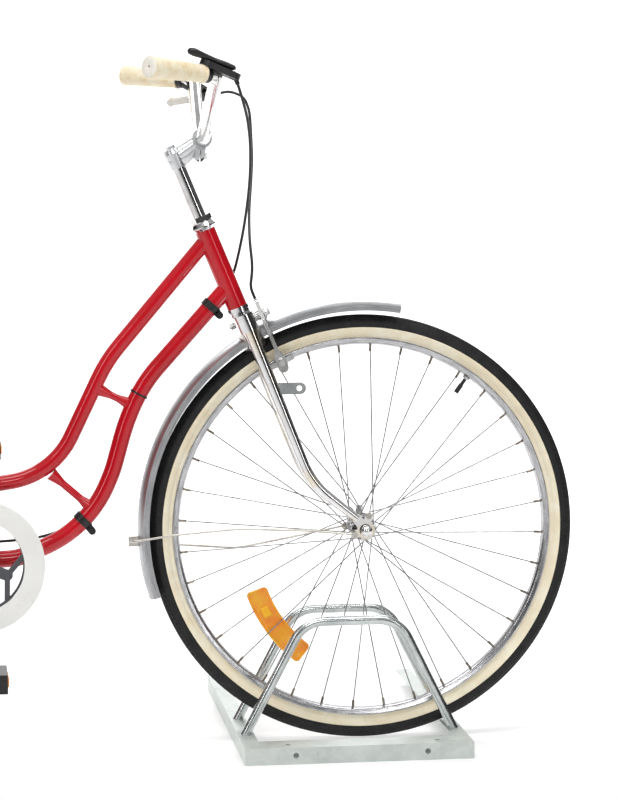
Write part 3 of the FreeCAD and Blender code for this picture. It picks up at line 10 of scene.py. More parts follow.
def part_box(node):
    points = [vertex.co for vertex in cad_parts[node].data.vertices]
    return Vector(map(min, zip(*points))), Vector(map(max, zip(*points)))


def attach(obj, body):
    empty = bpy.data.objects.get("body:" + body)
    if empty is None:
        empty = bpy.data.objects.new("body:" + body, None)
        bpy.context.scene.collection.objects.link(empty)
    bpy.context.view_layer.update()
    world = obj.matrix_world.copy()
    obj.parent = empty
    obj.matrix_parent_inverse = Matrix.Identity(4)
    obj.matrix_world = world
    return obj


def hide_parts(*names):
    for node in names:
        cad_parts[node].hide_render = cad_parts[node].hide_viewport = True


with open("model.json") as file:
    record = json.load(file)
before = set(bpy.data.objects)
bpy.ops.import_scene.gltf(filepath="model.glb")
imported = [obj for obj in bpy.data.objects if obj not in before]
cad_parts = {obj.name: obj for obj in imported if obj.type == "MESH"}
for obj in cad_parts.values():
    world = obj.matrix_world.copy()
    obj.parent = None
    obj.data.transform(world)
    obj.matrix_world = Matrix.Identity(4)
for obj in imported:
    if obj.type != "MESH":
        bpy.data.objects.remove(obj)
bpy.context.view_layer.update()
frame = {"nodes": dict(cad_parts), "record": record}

NODES = frame["nodes"]
MM = 0.001
SCENE = bpy.context.scene


def middle(node):
    """The centre of a CAD node's box."""
    low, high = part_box(node)
    return (low + high) / 2


FRONT = middle("front_tyre")
REAR = middle("rear_tyre")
CENTRE_Y = FRONT.y
TYRE_RADIUS = (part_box("front_tyre")[1].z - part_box("front_tyre")[0].z) / 2
BRACKET = middle("bottom_bracket_shell")
ENDS = (("front", FRONT), ("rear", REAR))
STEERING_UP = Vector((-0.378, 0, 0.926))         # up the steering axis
STEERING_AHEAD = Vector((0.926, 0, 0.378))       # square to it, towards the front
CAST_HEIGHT = 0.772          # up the steering axis from the origin to where the stem's casting starts
NIPPLE_START = 0.2875        # from the axle to the spoke's nipple
VALVE_NUT = (0.2945, 0.2995)                     # from the axle
SHOE_FACE = 0.0205           # sideways from the wheel's middle to the brake shoe's metal holder


# ---- Materials ------------------------------------------------------------------------
def srgb(red, green, blue):
    """A colour from 0 to 255 values, as the shader wants it."""
    def linear(value):
        value /= 255
        return value / 12.92 if value <= 0.04045 else ((value + 0.055) / 1.055) ** 2.4
    return (linear(red), linear(green), linear(blue), 1.0)


class Look:
    """A node material: a shader with constant values, and helpers that link detail to it."""

    def __init__(self, name, **values):
        self.material = bpy.data.materials.new(name)
        self.material.use_nodes = True
        self.tree = self.material.node_tree
        self.shader = self.tree.nodes["Principled BSDF"]
        for socket, value in values.items():
            self.shader.inputs[socket.replace("_", " ")].default_value = value
        self.place = self.add("ShaderNodeTexCoord").outputs["Object"]

    def add(self, kind, **settings):
        node = self.tree.nodes.new(kind)
        for key, value in settings.items():
            setattr(node, key, value)
        return node

    def link(self, source, target):
        self.tree.links.new(source, target)

    def maths(self, operation, first, second=None):
        node = self.add("ShaderNodeMath", operation=operation)
        for socket, value in zip(node.inputs, (first, second)):
            if value is None:
                continue
            if isinstance(value, (int, float)):
                socket.default_value = value
            else:
                self.link(value, socket)
        return node.outputs[0]

    def noise(self, scale, detail=4.0, roughness=0.55, place=None):
        node = self.add("ShaderNodeTexNoise")
        node.inputs["Scale"].default_value = scale
        node.inputs["Detail"].default_value = detail
        node.inputs["Roughness"].default_value = roughness
        self.link(place or self.place, node.inputs["Vector"])
        return node.outputs[0]

    def cells(self, scale, feature="F1"):
        node = self.add("ShaderNodeTexVoronoi", feature=feature)
        node.inputs["Scale"].default_value = scale
        self.link(self.place, node.inputs["Vector"])
        return node

    def ramp(self, source, *stops):
        node = self.add("ShaderNodeValToRGB")
        ramp = node.color_ramp
        while len(ramp.elements) < len(stops):
            ramp.elements.new(1.0)
        for element, (position, colour) in zip(ramp.elements, stops):
            element.position = position
            element.color = colour if isinstance(colour, tuple) else (colour, colour, colour, 1)
        self.link(source, node.inputs[0])
        return node.outputs[0]

    def mix(self, factor, first, second):
        node = self.add("ShaderNodeMix", data_type="RGBA")
        self.link(factor, node.inputs[0])
        for socket, value in ((node.inputs[6], first), (node.inputs[7], second)):
            if isinstance(value, tuple):
                socket.default_value = value
            else:
                self.link(value, socket)
        return node.outputs[2]

    def colour(self, source):
        self.link(source, self.shader.inputs["Base Color"])
        return self

    def rough(self, source, low, high):
        node = self.add("ShaderNodeMapRange")
        node.inputs["To Min"].default_value = low
        node.inputs["To Max"].default_value = high
        self.link(source, node.inputs[0])
        self.link(node.outputs[0], self.shader.inputs["Roughness"])
        return self

    def bump(self, height, strength, distance, normal=None):
        node = self.add("ShaderNodeBump")
        node.inputs["Strength"].default_value = strength
        node.inputs["Distance"].default_value = distance
        self.link(height, node.inputs["Height"])
        if normal:
            self.link(normal, node.inputs["Normal"])
        self.link(node.outputs[0], self.shader.inputs["Normal"])
        return node.outputs[0]

    def split(self):
        node = self.add("ShaderNodeSeparateXYZ")
        self.link(self.place, node.inputs[0])
        return node.outputs

    def radius(self, centre):
        """The distance from a wheel's axle line."""
        x, _, z = self.split()
        across = self.maths("POWER", self.maths("SUBTRACT", x, centre.x), 2.0)
        up = self.maths("POWER", self.maths("SUBTRACT", z, centre.z), 2.0)
        return self.maths("SQRT", self.maths("ADD", across, up))

    def round_place(self, centre, stretch):
        """A place that runs round a wheel: its angle, its radius and its side, for lines along the rim."""
        x, y, z = self.split()
        up = self.maths("SUBTRACT", z, centre.z)
        angle = self.maths("ARCTAN2", up, self.maths("SUBTRACT", x, centre.x))
        node = self.add("ShaderNodeCombineXYZ")
        self.link(self.maths("MULTIPLY", angle, stretch), node.inputs[0])
        self.link(self.radius(centre), node.inputs[1])
        self.link(y, node.inputs[2])
        return node.outputs[0]


def band(look, value, low, high, soft):
    """One inside low to high, and nought outside, with soft edges."""
    rise = look.add("ShaderNodeMapRange", interpolation_type="SMOOTHSTEP")
    fall = look.add("ShaderNodeMapRange", interpolation_type="SMOOTHSTEP")
    for node, start, end in ((rise, low - soft, low + soft), (fall, high + soft, high - soft)):
        node.inputs["From Min"].default_value = start
        node.inputs["From Max"].default_value = end
        look.link(value, node.inputs[0])
    return look.maths("MULTIPLY", rise.outputs[0], fall.outputs[0])


def painted(name, main, dark, coat, roughness):
    """Paint or a smooth moulding under a clear coat, slightly clouded."""
    look = Look(name, Coat_Weight=coat, Coat_Roughness=0.03, Specular_IOR_Level=0.15)
    cloud = look.noise(9, 5)
    look.colour(look.ramp(cloud, (0.3, dark), (0.7, main)))
    look.rough(look.noise(60, 3), roughness - 0.06, roughness + 0.08)
    look.bump(look.noise(700, 2), 0.05, 0.0002)
    return look


def metal(name, bright, dull, low, high, grain, depth):
    """Bare or plated metal, dull in patches; low and high are its least and most roughness."""
    look = Look(name, Metallic=1.0)
    look.colour(look.ramp(look.noise(35, 6, 0.6), (0.35, dull), (0.62, bright)))
    look.rough(look.noise(90, 6, 0.7), low, high)
    look.bump(look.noise(grain, 3), depth, 0.0002)
    return look


def rubber(name, main, worn, roughness, grain=1500):
    """Matt rubber, greyer where it is worn."""
    look = Look(name, Specular_IOR_Level=0.35)
    look.colour(look.ramp(look.noise(50, 6, 0.65), (0.35, main), (0.75, worn)))
    look.rough(look.noise(120, 4), roughness - 0.1, roughness + 0.12)
    look.bump(look.noise(grain, 3), 0.2, 0.0003)
    return look


def red_paint():
    """Red lacquer with a few small chips."""
    look = painted("red_lacquer", srgb(204, 2, 28), srgb(184, 1, 20), 1.0, 0.4)
    chips = look.ramp(look.noise(260, 2, 0.4), (0.76, 0.0), (0.775, 1.0))
    where = look.ramp(look.noise(14, 2), (0.55, 0.0), (0.68, 1.0))
    spots = look.maths("MULTIPLY", chips, where)
    shade = look.ramp(look.noise(9, 5), (0.3, srgb(184, 1, 20)), (0.7, srgb(204, 2, 28)))
    look.colour(look.mix(spots, shade, srgb(96, 50, 44)))
    return look.material


def chrome():
    """Bright plating with rust pits."""
    look = metal("chrome_plate", (0.86, 0.86, 0.87, 1), (0.70, 0.69, 0.68, 1), 0.05, 0.16, 500, 0.03)
    pits = look.ramp(look.noise(420, 2), (0.70, 0.0), (0.76, 1.0))
    base = look.ramp(look.noise(25, 6, 0.6), (0.35, (0.72, 0.71, 0.70, 1)), (0.6, (0.87, 0.87, 0.88, 1)))
    look.colour(look.mix(pits, base, (0.30, 0.26, 0.22, 1)))
    return look.material


def fork_chrome_painted_reflection():
    """Chrome with warm gold patches painted into its colour, a painted reflection of something yellow."""
    look = metal("fork_chrome_painted_reflection", (0.86, 0.86, 0.87, 1), (0.74, 0.73, 0.72, 1), 0.05, 0.15, 500, 0.03)
    # Painted reflection: gold patches stand in for a yellow thing mirrored in the blades.
    painted_gold_reflection = look.ramp(look.noise(18, 4), (0.50, 0.0), (0.66, 0.6))
    base = look.ramp(look.noise(30, 6), (0.35, (0.74, 0.73, 0.72, 1)), (0.6, (0.87, 0.87, 0.88, 1)))
    look.colour(look.mix(painted_gold_reflection, base, (0.80, 0.66, 0.40, 1)))
    return look.material


def fender_metal(name, centre):
    """Dull aluminium with scratches that run round the wheel."""
    look = Look(name, Metallic=1.0, Anisotropic=0.3)
    lines = look.noise(260, 6, 0.75, look.round_place(centre, 0.02))
    cloud = look.noise(22, 6, 0.65)
    look.colour(look.mix(look.ramp(lines, (0.42, 0.0), (0.66, 1.0)),
                         look.ramp(cloud, (0.3, (0.46, 0.47, 0.49, 1)), (0.7, (0.70, 0.71, 0.72, 1))),
                         (0.33, 0.33, 0.34, 1)))
    look.rough(lines, 0.24, 0.5)
    look.bump(lines, 0.16, 0.0003, look.bump(look.noise(160, 4), 0.08, 0.0004))
    return look.material


def galvanised():
    """Hot-dipped zinc: spangled, with dark scuffs."""
    look = Look("galvanised_sheet", Metallic=0.85)
    spangle = look.cells(70).outputs["Color"]
    grey = look.add("ShaderNodeRGBToBW")
    look.link(spangle, grey.inputs[0])
    cloud = look.noise(16, 6, 0.65)
    base = look.mix(look.ramp(grey.outputs[0], (0.2, 0.0), (0.8, 0.22)),
                    look.ramp(cloud, (0.3, (0.50, 0.54, 0.52, 1)), (0.7, (0.70, 0.74, 0.71, 1))),
                    (0.74, 0.78, 0.76, 1))
    marks = look.ramp(look.noise(130, 8, 0.8), (0.60, 0.0), (0.72, 0.7))
    look.colour(look.mix(marks, base, (0.28, 0.31, 0.30, 1)))
    look.rough(cloud, 0.3, 0.52)
    look.bump(look.noise(240, 5), 0.14, 0.0005)
    return look.material


def zinc_tube():
    look = metal("zinc_tube", (0.66, 0.69, 0.69, 1), (0.48, 0.51, 0.51, 1), 0.16, 0.30, 300, 0.05)
    return look.material


def tyre_black():
    return rubber("tread_black", srgb(17, 17, 18), srgb(38, 38, 38), 0.62, 1800).material


def tyre_cream(centre):
    """A cream side wall, darker in a narrow band just above the rim, and flecked with wear."""
    look = Look("side_wall_cream", Specular_IOR_Level=0.3, Subsurface_Weight=0.03)
    base = look.ramp(look.noise(26, 6, 0.65), (0.3, srgb(240, 224, 192)), (0.7, srgb(254, 246, 224)))
    scuffs = look.ramp(look.noise(110, 8, 0.8), (0.62, 0.0), (0.74, 0.55))
    base = look.mix(scuffs, base, srgb(190, 160, 120))
    # Darker in a narrow band where the wall meets the rim.
    soil_and_dark_band = band(look, look.radius(centre), TYRE_RADIUS - 0.0420, TYRE_RADIUS - 0.0372, 0.0006)
    look.colour(look.mix(soil_and_dark_band, base, srgb(88, 78, 66)))
    look.rough(look.noise(80, 4), 0.5, 0.68)
    look.bump(look.noise(1200, 3), 0.12, 0.0003)
    return look.material


def rim_metal(name, centre):
    """Plated steel with fine lines that run round the wheel."""
    look = Look(name, Metallic=1.0)
    lines = look.noise(420, 5, 0.7, look.round_place(centre, 0.03))
    look.colour(look.ramp(lines, (0.36, (0.34, 0.34, 0.35, 1)), (0.62, (0.64, 0.64, 0.66, 1))))
    look.rough(look.noise(60, 6), 0.14, 0.34)
    look.bump(lines, 0.05, 0.0002)
    return look.material


def spoke_metal(name, centre, nipple_start):
    """Grey steel spokes whose ends at the rim are dull brass."""
    look = Look(name, Metallic=1.0)
    steel = look.ramp(look.noise(70, 5), (0.35, (0.22, 0.22, 0.22, 1)), (0.65, (0.40, 0.40, 0.40, 1)))
    ends = look.add("ShaderNodeMapRange")
    ends.inputs["From Min"].default_value = nipple_start - 0.0003
    ends.inputs["From Max"].default_value = nipple_start + 0.0003
    look.link(look.radius(centre), ends.inputs[0])
    brass = look.ramp(look.noise(200, 4), (0.4, (0.16, 0.13, 0.10, 1)), (0.65, (0.40, 0.35, 0.28, 1)))
    look.colour(look.mix(ends.outputs[0], steel, brass))
    look.rough(look.noise(150, 4), 0.22, 0.42)
    look.bump(look.noise(600, 2), 0.06, 0.0002)
    return look.material


def valve_rubber(name, centre):
    """Black rubber; the valve's nut under the rim is bright metal."""
    look = Look(name)
    nut = band(look, look.radius(centre), *VALVE_NUT, 0.0002)
    black = look.ramp(look.noise(90, 4), (0.3, srgb(14, 14, 14)), (0.7, srgb(34, 34, 34)))
    look.colour(look.mix(nut, black, srgb(205, 205, 205)))
    look.link(nut, look.shader.inputs["Metallic"])
    look.rough(look.noise(200, 3), 0.3, 0.55)
    look.bump(look.noise(900, 2), 0.1, 0.0002)
    return look.material


def cream_grip():
    """Cream rubber, dirty where the hands hold it."""
    look = Look("grip_cream", Specular_IOR_Level=0.35, Subsurface_Weight=0.04)
    base = look.ramp(look.noise(48, 7, 0.7), (0.30, srgb(232, 206, 160)), (0.46, srgb(248, 232, 198)),
                     (0.66, srgb(254, 244, 220)))
    dirt = look.ramp(look.noise(190, 8, 0.85), (0.56, 0.0), (0.72, 0.6))
    look.colour(look.mix(dirt, base, srgb(176, 138, 92)))
    look.rough(look.noise(100, 4), 0.42, 0.62)
    look.bump(look.noise(500, 6, 0.7), 0.22, 0.0005)
    return look.material


def stem_metal():
    """Cast alloy at the neck, and a plated quill below it."""
    look = Look("stem_metal", Metallic=1.0)
    x, _, z = look.split()
    up = look.maths("ADD", look.maths("MULTIPLY", x, STEERING_UP.x),
                    look.maths("MULTIPLY", z, STEERING_UP.z))
    cast = look.maths("GREATER_THAN", up, CAST_HEIGHT)
    plate = look.ramp(look.noise(30, 5), (0.35, (0.60, 0.59, 0.58, 1)), (0.65, (0.84, 0.84, 0.84, 1)))
    alloy = look.ramp(look.noise(50, 6), (0.35, (0.60, 0.61, 0.62, 1)), (0.65, (0.80, 0.81, 0.82, 1)))
    look.colour(look.mix(cast, plate, alloy))
    cloud = look.maths("MULTIPLY", look.noise(90, 5), 0.3)
    look.rough(look.maths("ADD", look.maths("MULTIPLY", cast, 0.8), cloud), 0.07, 0.36)
    look.bump(look.noise(260, 4), 0.07, 0.0003)
    return look.material


def brake_shoe():
    """Black rubber against the rim, held in a plated steel shoe."""
    look = Look("brake_shoe")
    _, y, _ = look.split()
    off = look.maths("ABSOLUTE", look.maths("SUBTRACT", y, CENTRE_Y))
    holder = look.maths("GREATER_THAN", off, SHOE_FACE)
    black = look.ramp(look.noise(90, 4), (0.3, srgb(16, 16, 16)), (0.7, srgb(36, 36, 36)))
    plate = look.ramp(look.noise(60, 5), (0.35, (0.50, 0.50, 0.50, 1)), (0.65, (0.76, 0.76, 0.76, 1)))
    look.colour(look.mix(holder, black, plate))
    look.link(holder, look.shader.inputs["Metallic"])
    look.rough(look.noise(120, 4), 0.25, 0.45)
    look.bump(look.noise(500, 3), 0.1, 0.0002)
    return look.material


def white_enamel():
    look = Look("white_enamel", Coat_Weight=0.7, Coat_Roughness=0.06)
    soil_and_dark_band = look.ramp(look.noise(70, 8, 0.8), (0.60, 0.0), (0.78, 0.35))
    white = look.ramp(look.noise(7, 4), (0.3, srgb(236, 235, 230)), (0.7, srgb(250, 250, 248)))
    look.colour(look.mix(soil_and_dark_band, white, srgb(205, 190, 165)))
    look.rough(look.noise(50, 4), 0.22, 0.38)
    look.bump(look.noise(500, 2), 0.05, 0.0002)
    return look.material


def amber():
    """A moulded reflector: pebbled orange, lighter where the light gathers."""
    look = Look("reflector_amber", Coat_Weight=0.5, Coat_Roughness=0.1, Subsurface_Weight=0.25,
                Specular_IOR_Level=0.5)
    look.shader.inputs["Subsurface Radius"].default_value = (0.004, 0.0015, 0.0004)
    cells = look.cells(620).outputs["Distance"]
    glow = look.ramp(look.noise(38, 4), (0.35, srgb(255, 150, 0)), (0.62, srgb(255, 200, 34)))
    look.colour(look.mix(look.ramp(cells, (0.1, 0.0), (0.7, 0.45)), glow, srgb(240, 122, 0)))
    look.rough(look.noise(90, 4), 0.24, 0.4)
    look.bump(cells, 0.55, 0.0006)
    return look.material


def leather():
    """Black vinyl with a fine pebbled grain."""
    look = Look("saddle_vinyl", Coat_Weight=0.12, Coat_Roughness=0.35)
    grain = look.cells(900, "DISTANCE_TO_EDGE").outputs["Distance"]
    look.colour(look.ramp(look.noise(30, 6, 0.65), (0.3, srgb(20, 19, 19)), (0.7, srgb(42, 40, 39))))
    look.rough(look.noise(70, 5), 0.36, 0.52)
    folds = look.bump(look.noise(220, 3), 0.12, 0.0004)
    look.bump(look.ramp(grain, (0.0, 0.0), (0.22, 1.0)), 0.35, 0.0004, folds)
    return look.material


def black_plastic():
    look = Look("black_moulding", Specular_IOR_Level=0.5)
    look.colour(look.ramp(look.noise(60, 5), (0.35, srgb(15, 15, 16)), (0.7, srgb(32, 32, 33))))
    look.rough(look.noise(120, 5), 0.26, 0.46)
    look.bump(look.noise(1100, 3), 0.12, 0.0002)
    return look.material


def cable_casing():
    look = Look("cable_casing", Specular_IOR_Level=0.5)
    look.colour(look.ramp(look.noise(90, 4), (0.35, srgb(10, 10, 10)), (0.7, srgb(26, 26, 27))))
    look.rough(look.noise(90, 4), 0.25, 0.42)
    look.bump(look.noise(900, 2), 0.08, 0.0002)
    return look.material


LOOKS = {
    "red_paint": red_paint(),
    "chrome": chrome(),
    "fork_chrome_painted_reflection": fork_chrome_painted_reflection(),
    "cast_aluminium": metal("cast_aluminium", (0.78, 0.78, 0.79, 1), (0.62, 0.62, 0.63, 1), 0.22, 0.4,
                            260, 0.1).material,
    "front_fender": fender_metal("front_fender_metal", FRONT),
    "rear_fender": fender_metal("rear_fender_metal", REAR),
    "galvanised": galvanised(),
    "zinc_tube": zinc_tube(),
    "plated": metal("plated_steel", (0.72, 0.70, 0.66, 1), (0.52, 0.48, 0.42, 1), 0.2, 0.4,
                    500, 0.07).material,
    "bolt": metal("bolt_steel", (0.76, 0.76, 0.76, 1), (0.5, 0.49, 0.47, 1), 0.16, 0.34, 500, 0.06).material,
    "spider": painted("spider_grey", srgb(112, 114, 119), srgb(84, 86, 92), 0.3, 0.42).material,
    "tread": tyre_black(),
    "pad": rubber("pad_rubber", srgb(18, 18, 18), srgb(40, 39, 38), 0.66).material,
    "grip": cream_grip(),
    "black": black_plastic(),
    "casing": cable_casing(),
    "white": white_enamel(),
    "amber": amber(),
    "shoe": brake_shoe(),
    "stem": stem_metal(),
    "cap": painted("cap_white", srgb(252, 248, 238), srgb(240, 232, 214), 0.3, 0.4).material,
    "clip": painted("clip_yellow", srgb(255, 196, 40), srgb(246, 170, 20), 0.5, 0.35).material,
    "leather": leather(),
    "pale": painted("pale_lacquer", srgb(232, 230, 222), srgb(210, 206, 196), 0.5, 0.34).material,
}
for end, centre in ENDS:
    LOOKS[end + "_wall"] = tyre_cream(centre)
    LOOKS[end + "_rim"] = rim_metal(end + "_rim_metal", centre)
    LOOKS[end + "_spokes"] = spoke_metal(end + "_spoke_metal", centre, NIPPLE_START)
    LOOKS[end + "_inner_tube"] = valve_rubber(end + "_valve_rubber", centre)

BY_SLOT = {
    "red_paint": "red_paint", "chrome": "chrome", "cast_aluminium": "cast_aluminium",
    "zinc_steel": "zinc_tube",
    "bright_steel": "bolt", "spider_steel": "spider", "tyre_rubber": "tread", "tube_rubber": "pad",
    "pad_rubber": "pad", "grip_rubber": "grip", "black_plastic": "black", "cable_black": "casing",
    "guard_white": "white", "amber": "amber", "seat_cover": "leather", "lever_white": "pale",
}
BY_NODE = {
    "stand_base": "galvanised", "fork_blades": "fork_chrome_painted_reflection", "front_fender": "front_fender",
    "rear_fender": "rear_fender", "front_fender_stays": "plated", "rear_fender_stays": "plated",
    "front_rim": "front_rim", "rear_rim": "rear_rim",
    "front_spokes": "front_spokes", "rear_spokes": "rear_spokes",
    "front_inner_tube": "front_inner_tube", "rear_inner_tube": "rear_inner_tube",
    "right_caliper_arm": "bolt", "left_caliper_arm": "bolt", "stem": "stem",
    "right_brake_pad": "shoe", "left_brake_pad": "shoe",
}
SLOT_OF = {part["node"]: part["material_slot"] for part in frame["record"]["subparts"]}
for name, node in NODES.items():
    look = LOOKS[BY_NODE.get(name) or BY_SLOT[SLOT_OF[name]]]
    node.data.materials.clear()
    node.data.materials.append(look)
    for face in node.data.polygons:
        face.material_index = 0


# ---- Mesh helpers -----------------------------------------------------------------------
SHARP_ANGLE = math.radians(38)


def piece(name, mesh, looks, body):
    """A new object from a bmesh, with its materials and body."""
    data = bpy.data.meshes.new(name)
    bmesh.ops.recalc_face_normals(mesh, faces=mesh.faces)
    mesh.to_mesh(data)
    mesh.free()
    made = bpy.data.objects.new(name, data)
    SCENE.collection.objects.link(made)
    for look in looks:
        data.materials.append(look)
    data.shade_smooth()
    data.set_sharp_from_angle(angle=SHARP_ANGLE)
    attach(made, body)
    return made


def ring_of(mesh, points):
    return [mesh.verts.new(point) for point in points]


def skin(mesh, rings, closed_along=False, closed_round=True, index=None):
    """Faces between rings of vertices. index gives a face's material from its place round the ring."""
    pairs = list(zip(rings, rings[1:]))
    if closed_along:
        pairs.append((rings[-1], rings[0]))
    count = len(rings[0])
    for first, second in pairs:
        for i in range(count if closed_round else count - 1):
            j = (i + 1) % count
            face = mesh.faces.new((first[i], first[j], second[j], second[i]))
            if index:
                face.material_index = index(i)


def capped(mesh, rings, **settings):
    """A skin over the rings with a flat face at each end."""
    skin(mesh, rings, **settings)
    mesh.faces.new(rings[0])
    mesh.faces.new(rings[-1])


def lathe(mesh, profile, origin, axis, steps):
    """A closed solid turned round an axis: the profile's (radius, distance) points run from axis to axis."""
    axis = Vector(axis).normalized()
    side = axis.orthogonal().normalized()
    other = axis.cross(side)
    rings = []
    for radius, distance in profile:
        centre = Vector(origin) + axis * distance
        rings.append(ring_of(mesh, [centre + (side * math.cos(2 * math.pi * k / steps)
                                              + other * math.sin(2 * math.pi * k / steps)) * radius
                                    for k in range(steps)]))
    capped(mesh, rings)


# ---- Tyres ------------------------------------------------------------------------------
TREAD_RADIUS = 17.6 * MM
TREAD_CENTRE = TYRE_RADIUS - TREAD_RADIUS
CREAM_EDGE = -9.0            # degrees below the widest line of the tyre where cream meets black
BEAD_EDGE = -52.5
BLOCKS = 264
CASING_DEPTH = 2.6 * MM
WALL_LIFT = 6.4 * MM         # the wall's lower edge stands out to meet the rim
RIM_STEPS = 288


def tread_height(angle, phase):
    """How far the rubber stands from the tyre's round outline: ribs at the middle and blocks at the edge."""
    side = abs(90 - angle)
    if side > 150:
        return WALL_LIFT
    if side > 102:
        return 0.25 * MM if side < 106 else 0.0
    if 34 < side < 62:
        return -1.1 * MM if phase == 0 else 0.0
    if 30 <= side <= 34 or 16 <= side <= 19 or 2 <= side <= 4.5:
        return -1.0 * MM
    if 19 < side < 30:
        return -0.8 * MM if phase == 2 else 0.0
    return -0.25 * MM if side > 62 else 0.0


def tyre(end, centre):
    """The tyre as a closed skin with a blocked tread, black above and cream below."""
    black = [CREAM_EDGE + 0.01, 4, 14, 24, 27.9, 28.1, 42, 55.9, 56.1, 59.9, 60.1, 65,
             70.9, 71.1, 73.9, 74.1, 80, 85.4, 85.6, 87.9, 88.1]
    outer = [-66, BEAD_EDGE, -42, -32, -22, -16.1, -15.9, -12.1, -11.9, CREAM_EDGE] + black
    outer = outer + [180 - angle for angle in reversed(outer)]
    mesh = bmesh.new()
    rings = []
    cuts = (0.0, 0.17, 0.2, 0.5, 0.53, 0.66, 0.69, 0.97)
    phases = (0, 0, 1, 1, 2, 2, 1, 1)
    inner = [180 - BEAD_EDGE, 200, 150, 110, 70, 30, -20, BEAD_EDGE]
    for block in range(BLOCKS):
        for cut, phase in zip(cuts, phases):
            turn = 2 * math.pi * (block + cut) / BLOCKS
            out = Vector((math.cos(turn), 0, math.sin(turn)))
            points = []
            for angle in outer:
                size = TREAD_RADIUS + tread_height(angle, phase)
                far = TREAD_CENTRE + size * math.sin(math.radians(angle))
                points.append(centre + out * far + Vector((0, size * math.cos(math.radians(angle)), 0)))
            for angle in inner:
                size = TREAD_RADIUS - CASING_DEPTH
                far = TREAD_CENTRE + size * math.sin(math.radians(angle))
                points.append(centre + out * far + Vector((0, size * math.cos(math.radians(angle)), 0)))
            rings.append(ring_of(mesh, points))
    edge = outer.index(CREAM_EDGE)
    last = len(outer) - 1 - edge

    def index(i):
        return 1 if i < edge or last <= i < len(outer) - 1 else 0

    skin(mesh, rings, closed_along=True, index=index)
    looks = [LOOKS["tread"], LOOKS[end + "_wall"]]
    made = piece(end + "_tyre_tread", mesh, looks, end + "_wheel")
    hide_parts(end + "_tyre")


def rim(end, centre):
    """The rim as a rounded channel with rolled edges and a raised middle line."""
    below = [(310.4, 12.7), (309.6, 13.2), (308.4, 13.2), (307.6, 12.7), (304.2, 12.5),
             (302.4, 11.4), (300.8, 8.6), (299.7, 5.0), (299.5, 1.2), (299.0, 0.9)]
    well = [(310.4, -11.1), (305.6, -11.0), (302.4, -6.0), (301.6, 0.0), (302.4, 6.0), (305.6, 11.0),
            (310.4, 11.1)]
    section = below + [(far, -side) for far, side in reversed(below)] + well
    mesh = bmesh.new()
    rings = []
    for k in range(RIM_STEPS):
        turn = 2 * math.pi * k / RIM_STEPS
        out = Vector((math.cos(turn), 0, math.sin(turn)))
        points = [centre + out * (far * MM) + Vector((0, side * MM, 0)) for far, side in section]
        rings.append(ring_of(mesh, points))
    skin(mesh, rings, closed_along=True)
    made = piece(end + "_rim_channel", mesh, [LOOKS[end + "_rim"]], end + "_wheel")
    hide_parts(end + "_rim")


for end, centre in ENDS:
    tyre(end, centre)
    rim(end, centre)


# ---- Chain ------------------------------------------------------------------------------
def belt_path(first, first_radius, second, second_radius, pitch):
    """Evenly spaced points and directions round two circles, in the plane of the chain."""
    span = second - first
    lean = math.asin((first_radius - second_radius) / span.length)
    heading = math.atan2(span.z, span.x)
    start = heading + math.pi / 2 - lean
    end = heading - math.pi / 2 + lean
    straight = span.length * math.cos(lean)
    big = first_radius * (2 * math.pi - (start - end))
    small = second_radius * (start - end)
    total = 2 * straight + big + small
    count = 2 * round(total / pitch / 2)
    places = []
    for k in range(count):
        run = total * k / count
        if run < big:
            angle = start + run / first_radius
            places.append(first + Vector((math.cos(angle), 0, math.sin(angle))) * first_radius)
        elif run < big + straight:
            out = Vector((math.cos(end), 0, math.sin(end)))
            along = (second + out * second_radius) - (first + out * first_radius)
            places.append(first + out * first_radius + along * ((run - big) / straight))
        elif run < big + straight + small:
            angle = end + (run - big - straight) / second_radius
            places.append(second + Vector((math.cos(angle), 0, math.sin(angle))) * second_radius)
        else:
            out = Vector((math.cos(start), 0, math.sin(start)))
            along = (first + out * first_radius) - (second + out * second_radius)
            places.append(second + out * second_radius + along * ((run - big - straight - small) / straight))
    return places


PLATE_HALF = 4.1 * MM
PLATE_THICK = 0.9 * MM
WAIST = 0.72                 # share of the plate's half width
CHAIN_HEIGHT = 8.5 * MM
PITCH_OF_CHAIN = 12.7 * MM


def link_plate(mesh, start, end, low, high):
    """One side plate of a link: two round ends and a waist."""
    ahead = (end - start).normalized()
    across = Vector((-ahead.z, 0, ahead.x))
    outline = []
    for centre, base in ((start, 90), (end, -90)):
        for k in range(7):
            angle = math.radians(base + 180 * k / 6)
            outline.append(centre + ahead * (math.cos(angle) * PLATE_HALF)
                           + across * (math.sin(angle) * PLATE_HALF))
        waist = across * (PLATE_HALF * WAIST * (-1 if base == 90 else 1))
        outline.append((start + end) / 2 + waist)
    lower = ring_of(mesh, [Vector((p.x, low, p.z)) for p in outline])
    upper = ring_of(mesh, [Vector((p.x, high, p.z)) for p in outline])
    skin(mesh, [lower, upper])
    mesh.faces.new(lower)
    mesh.faces.new(upper)


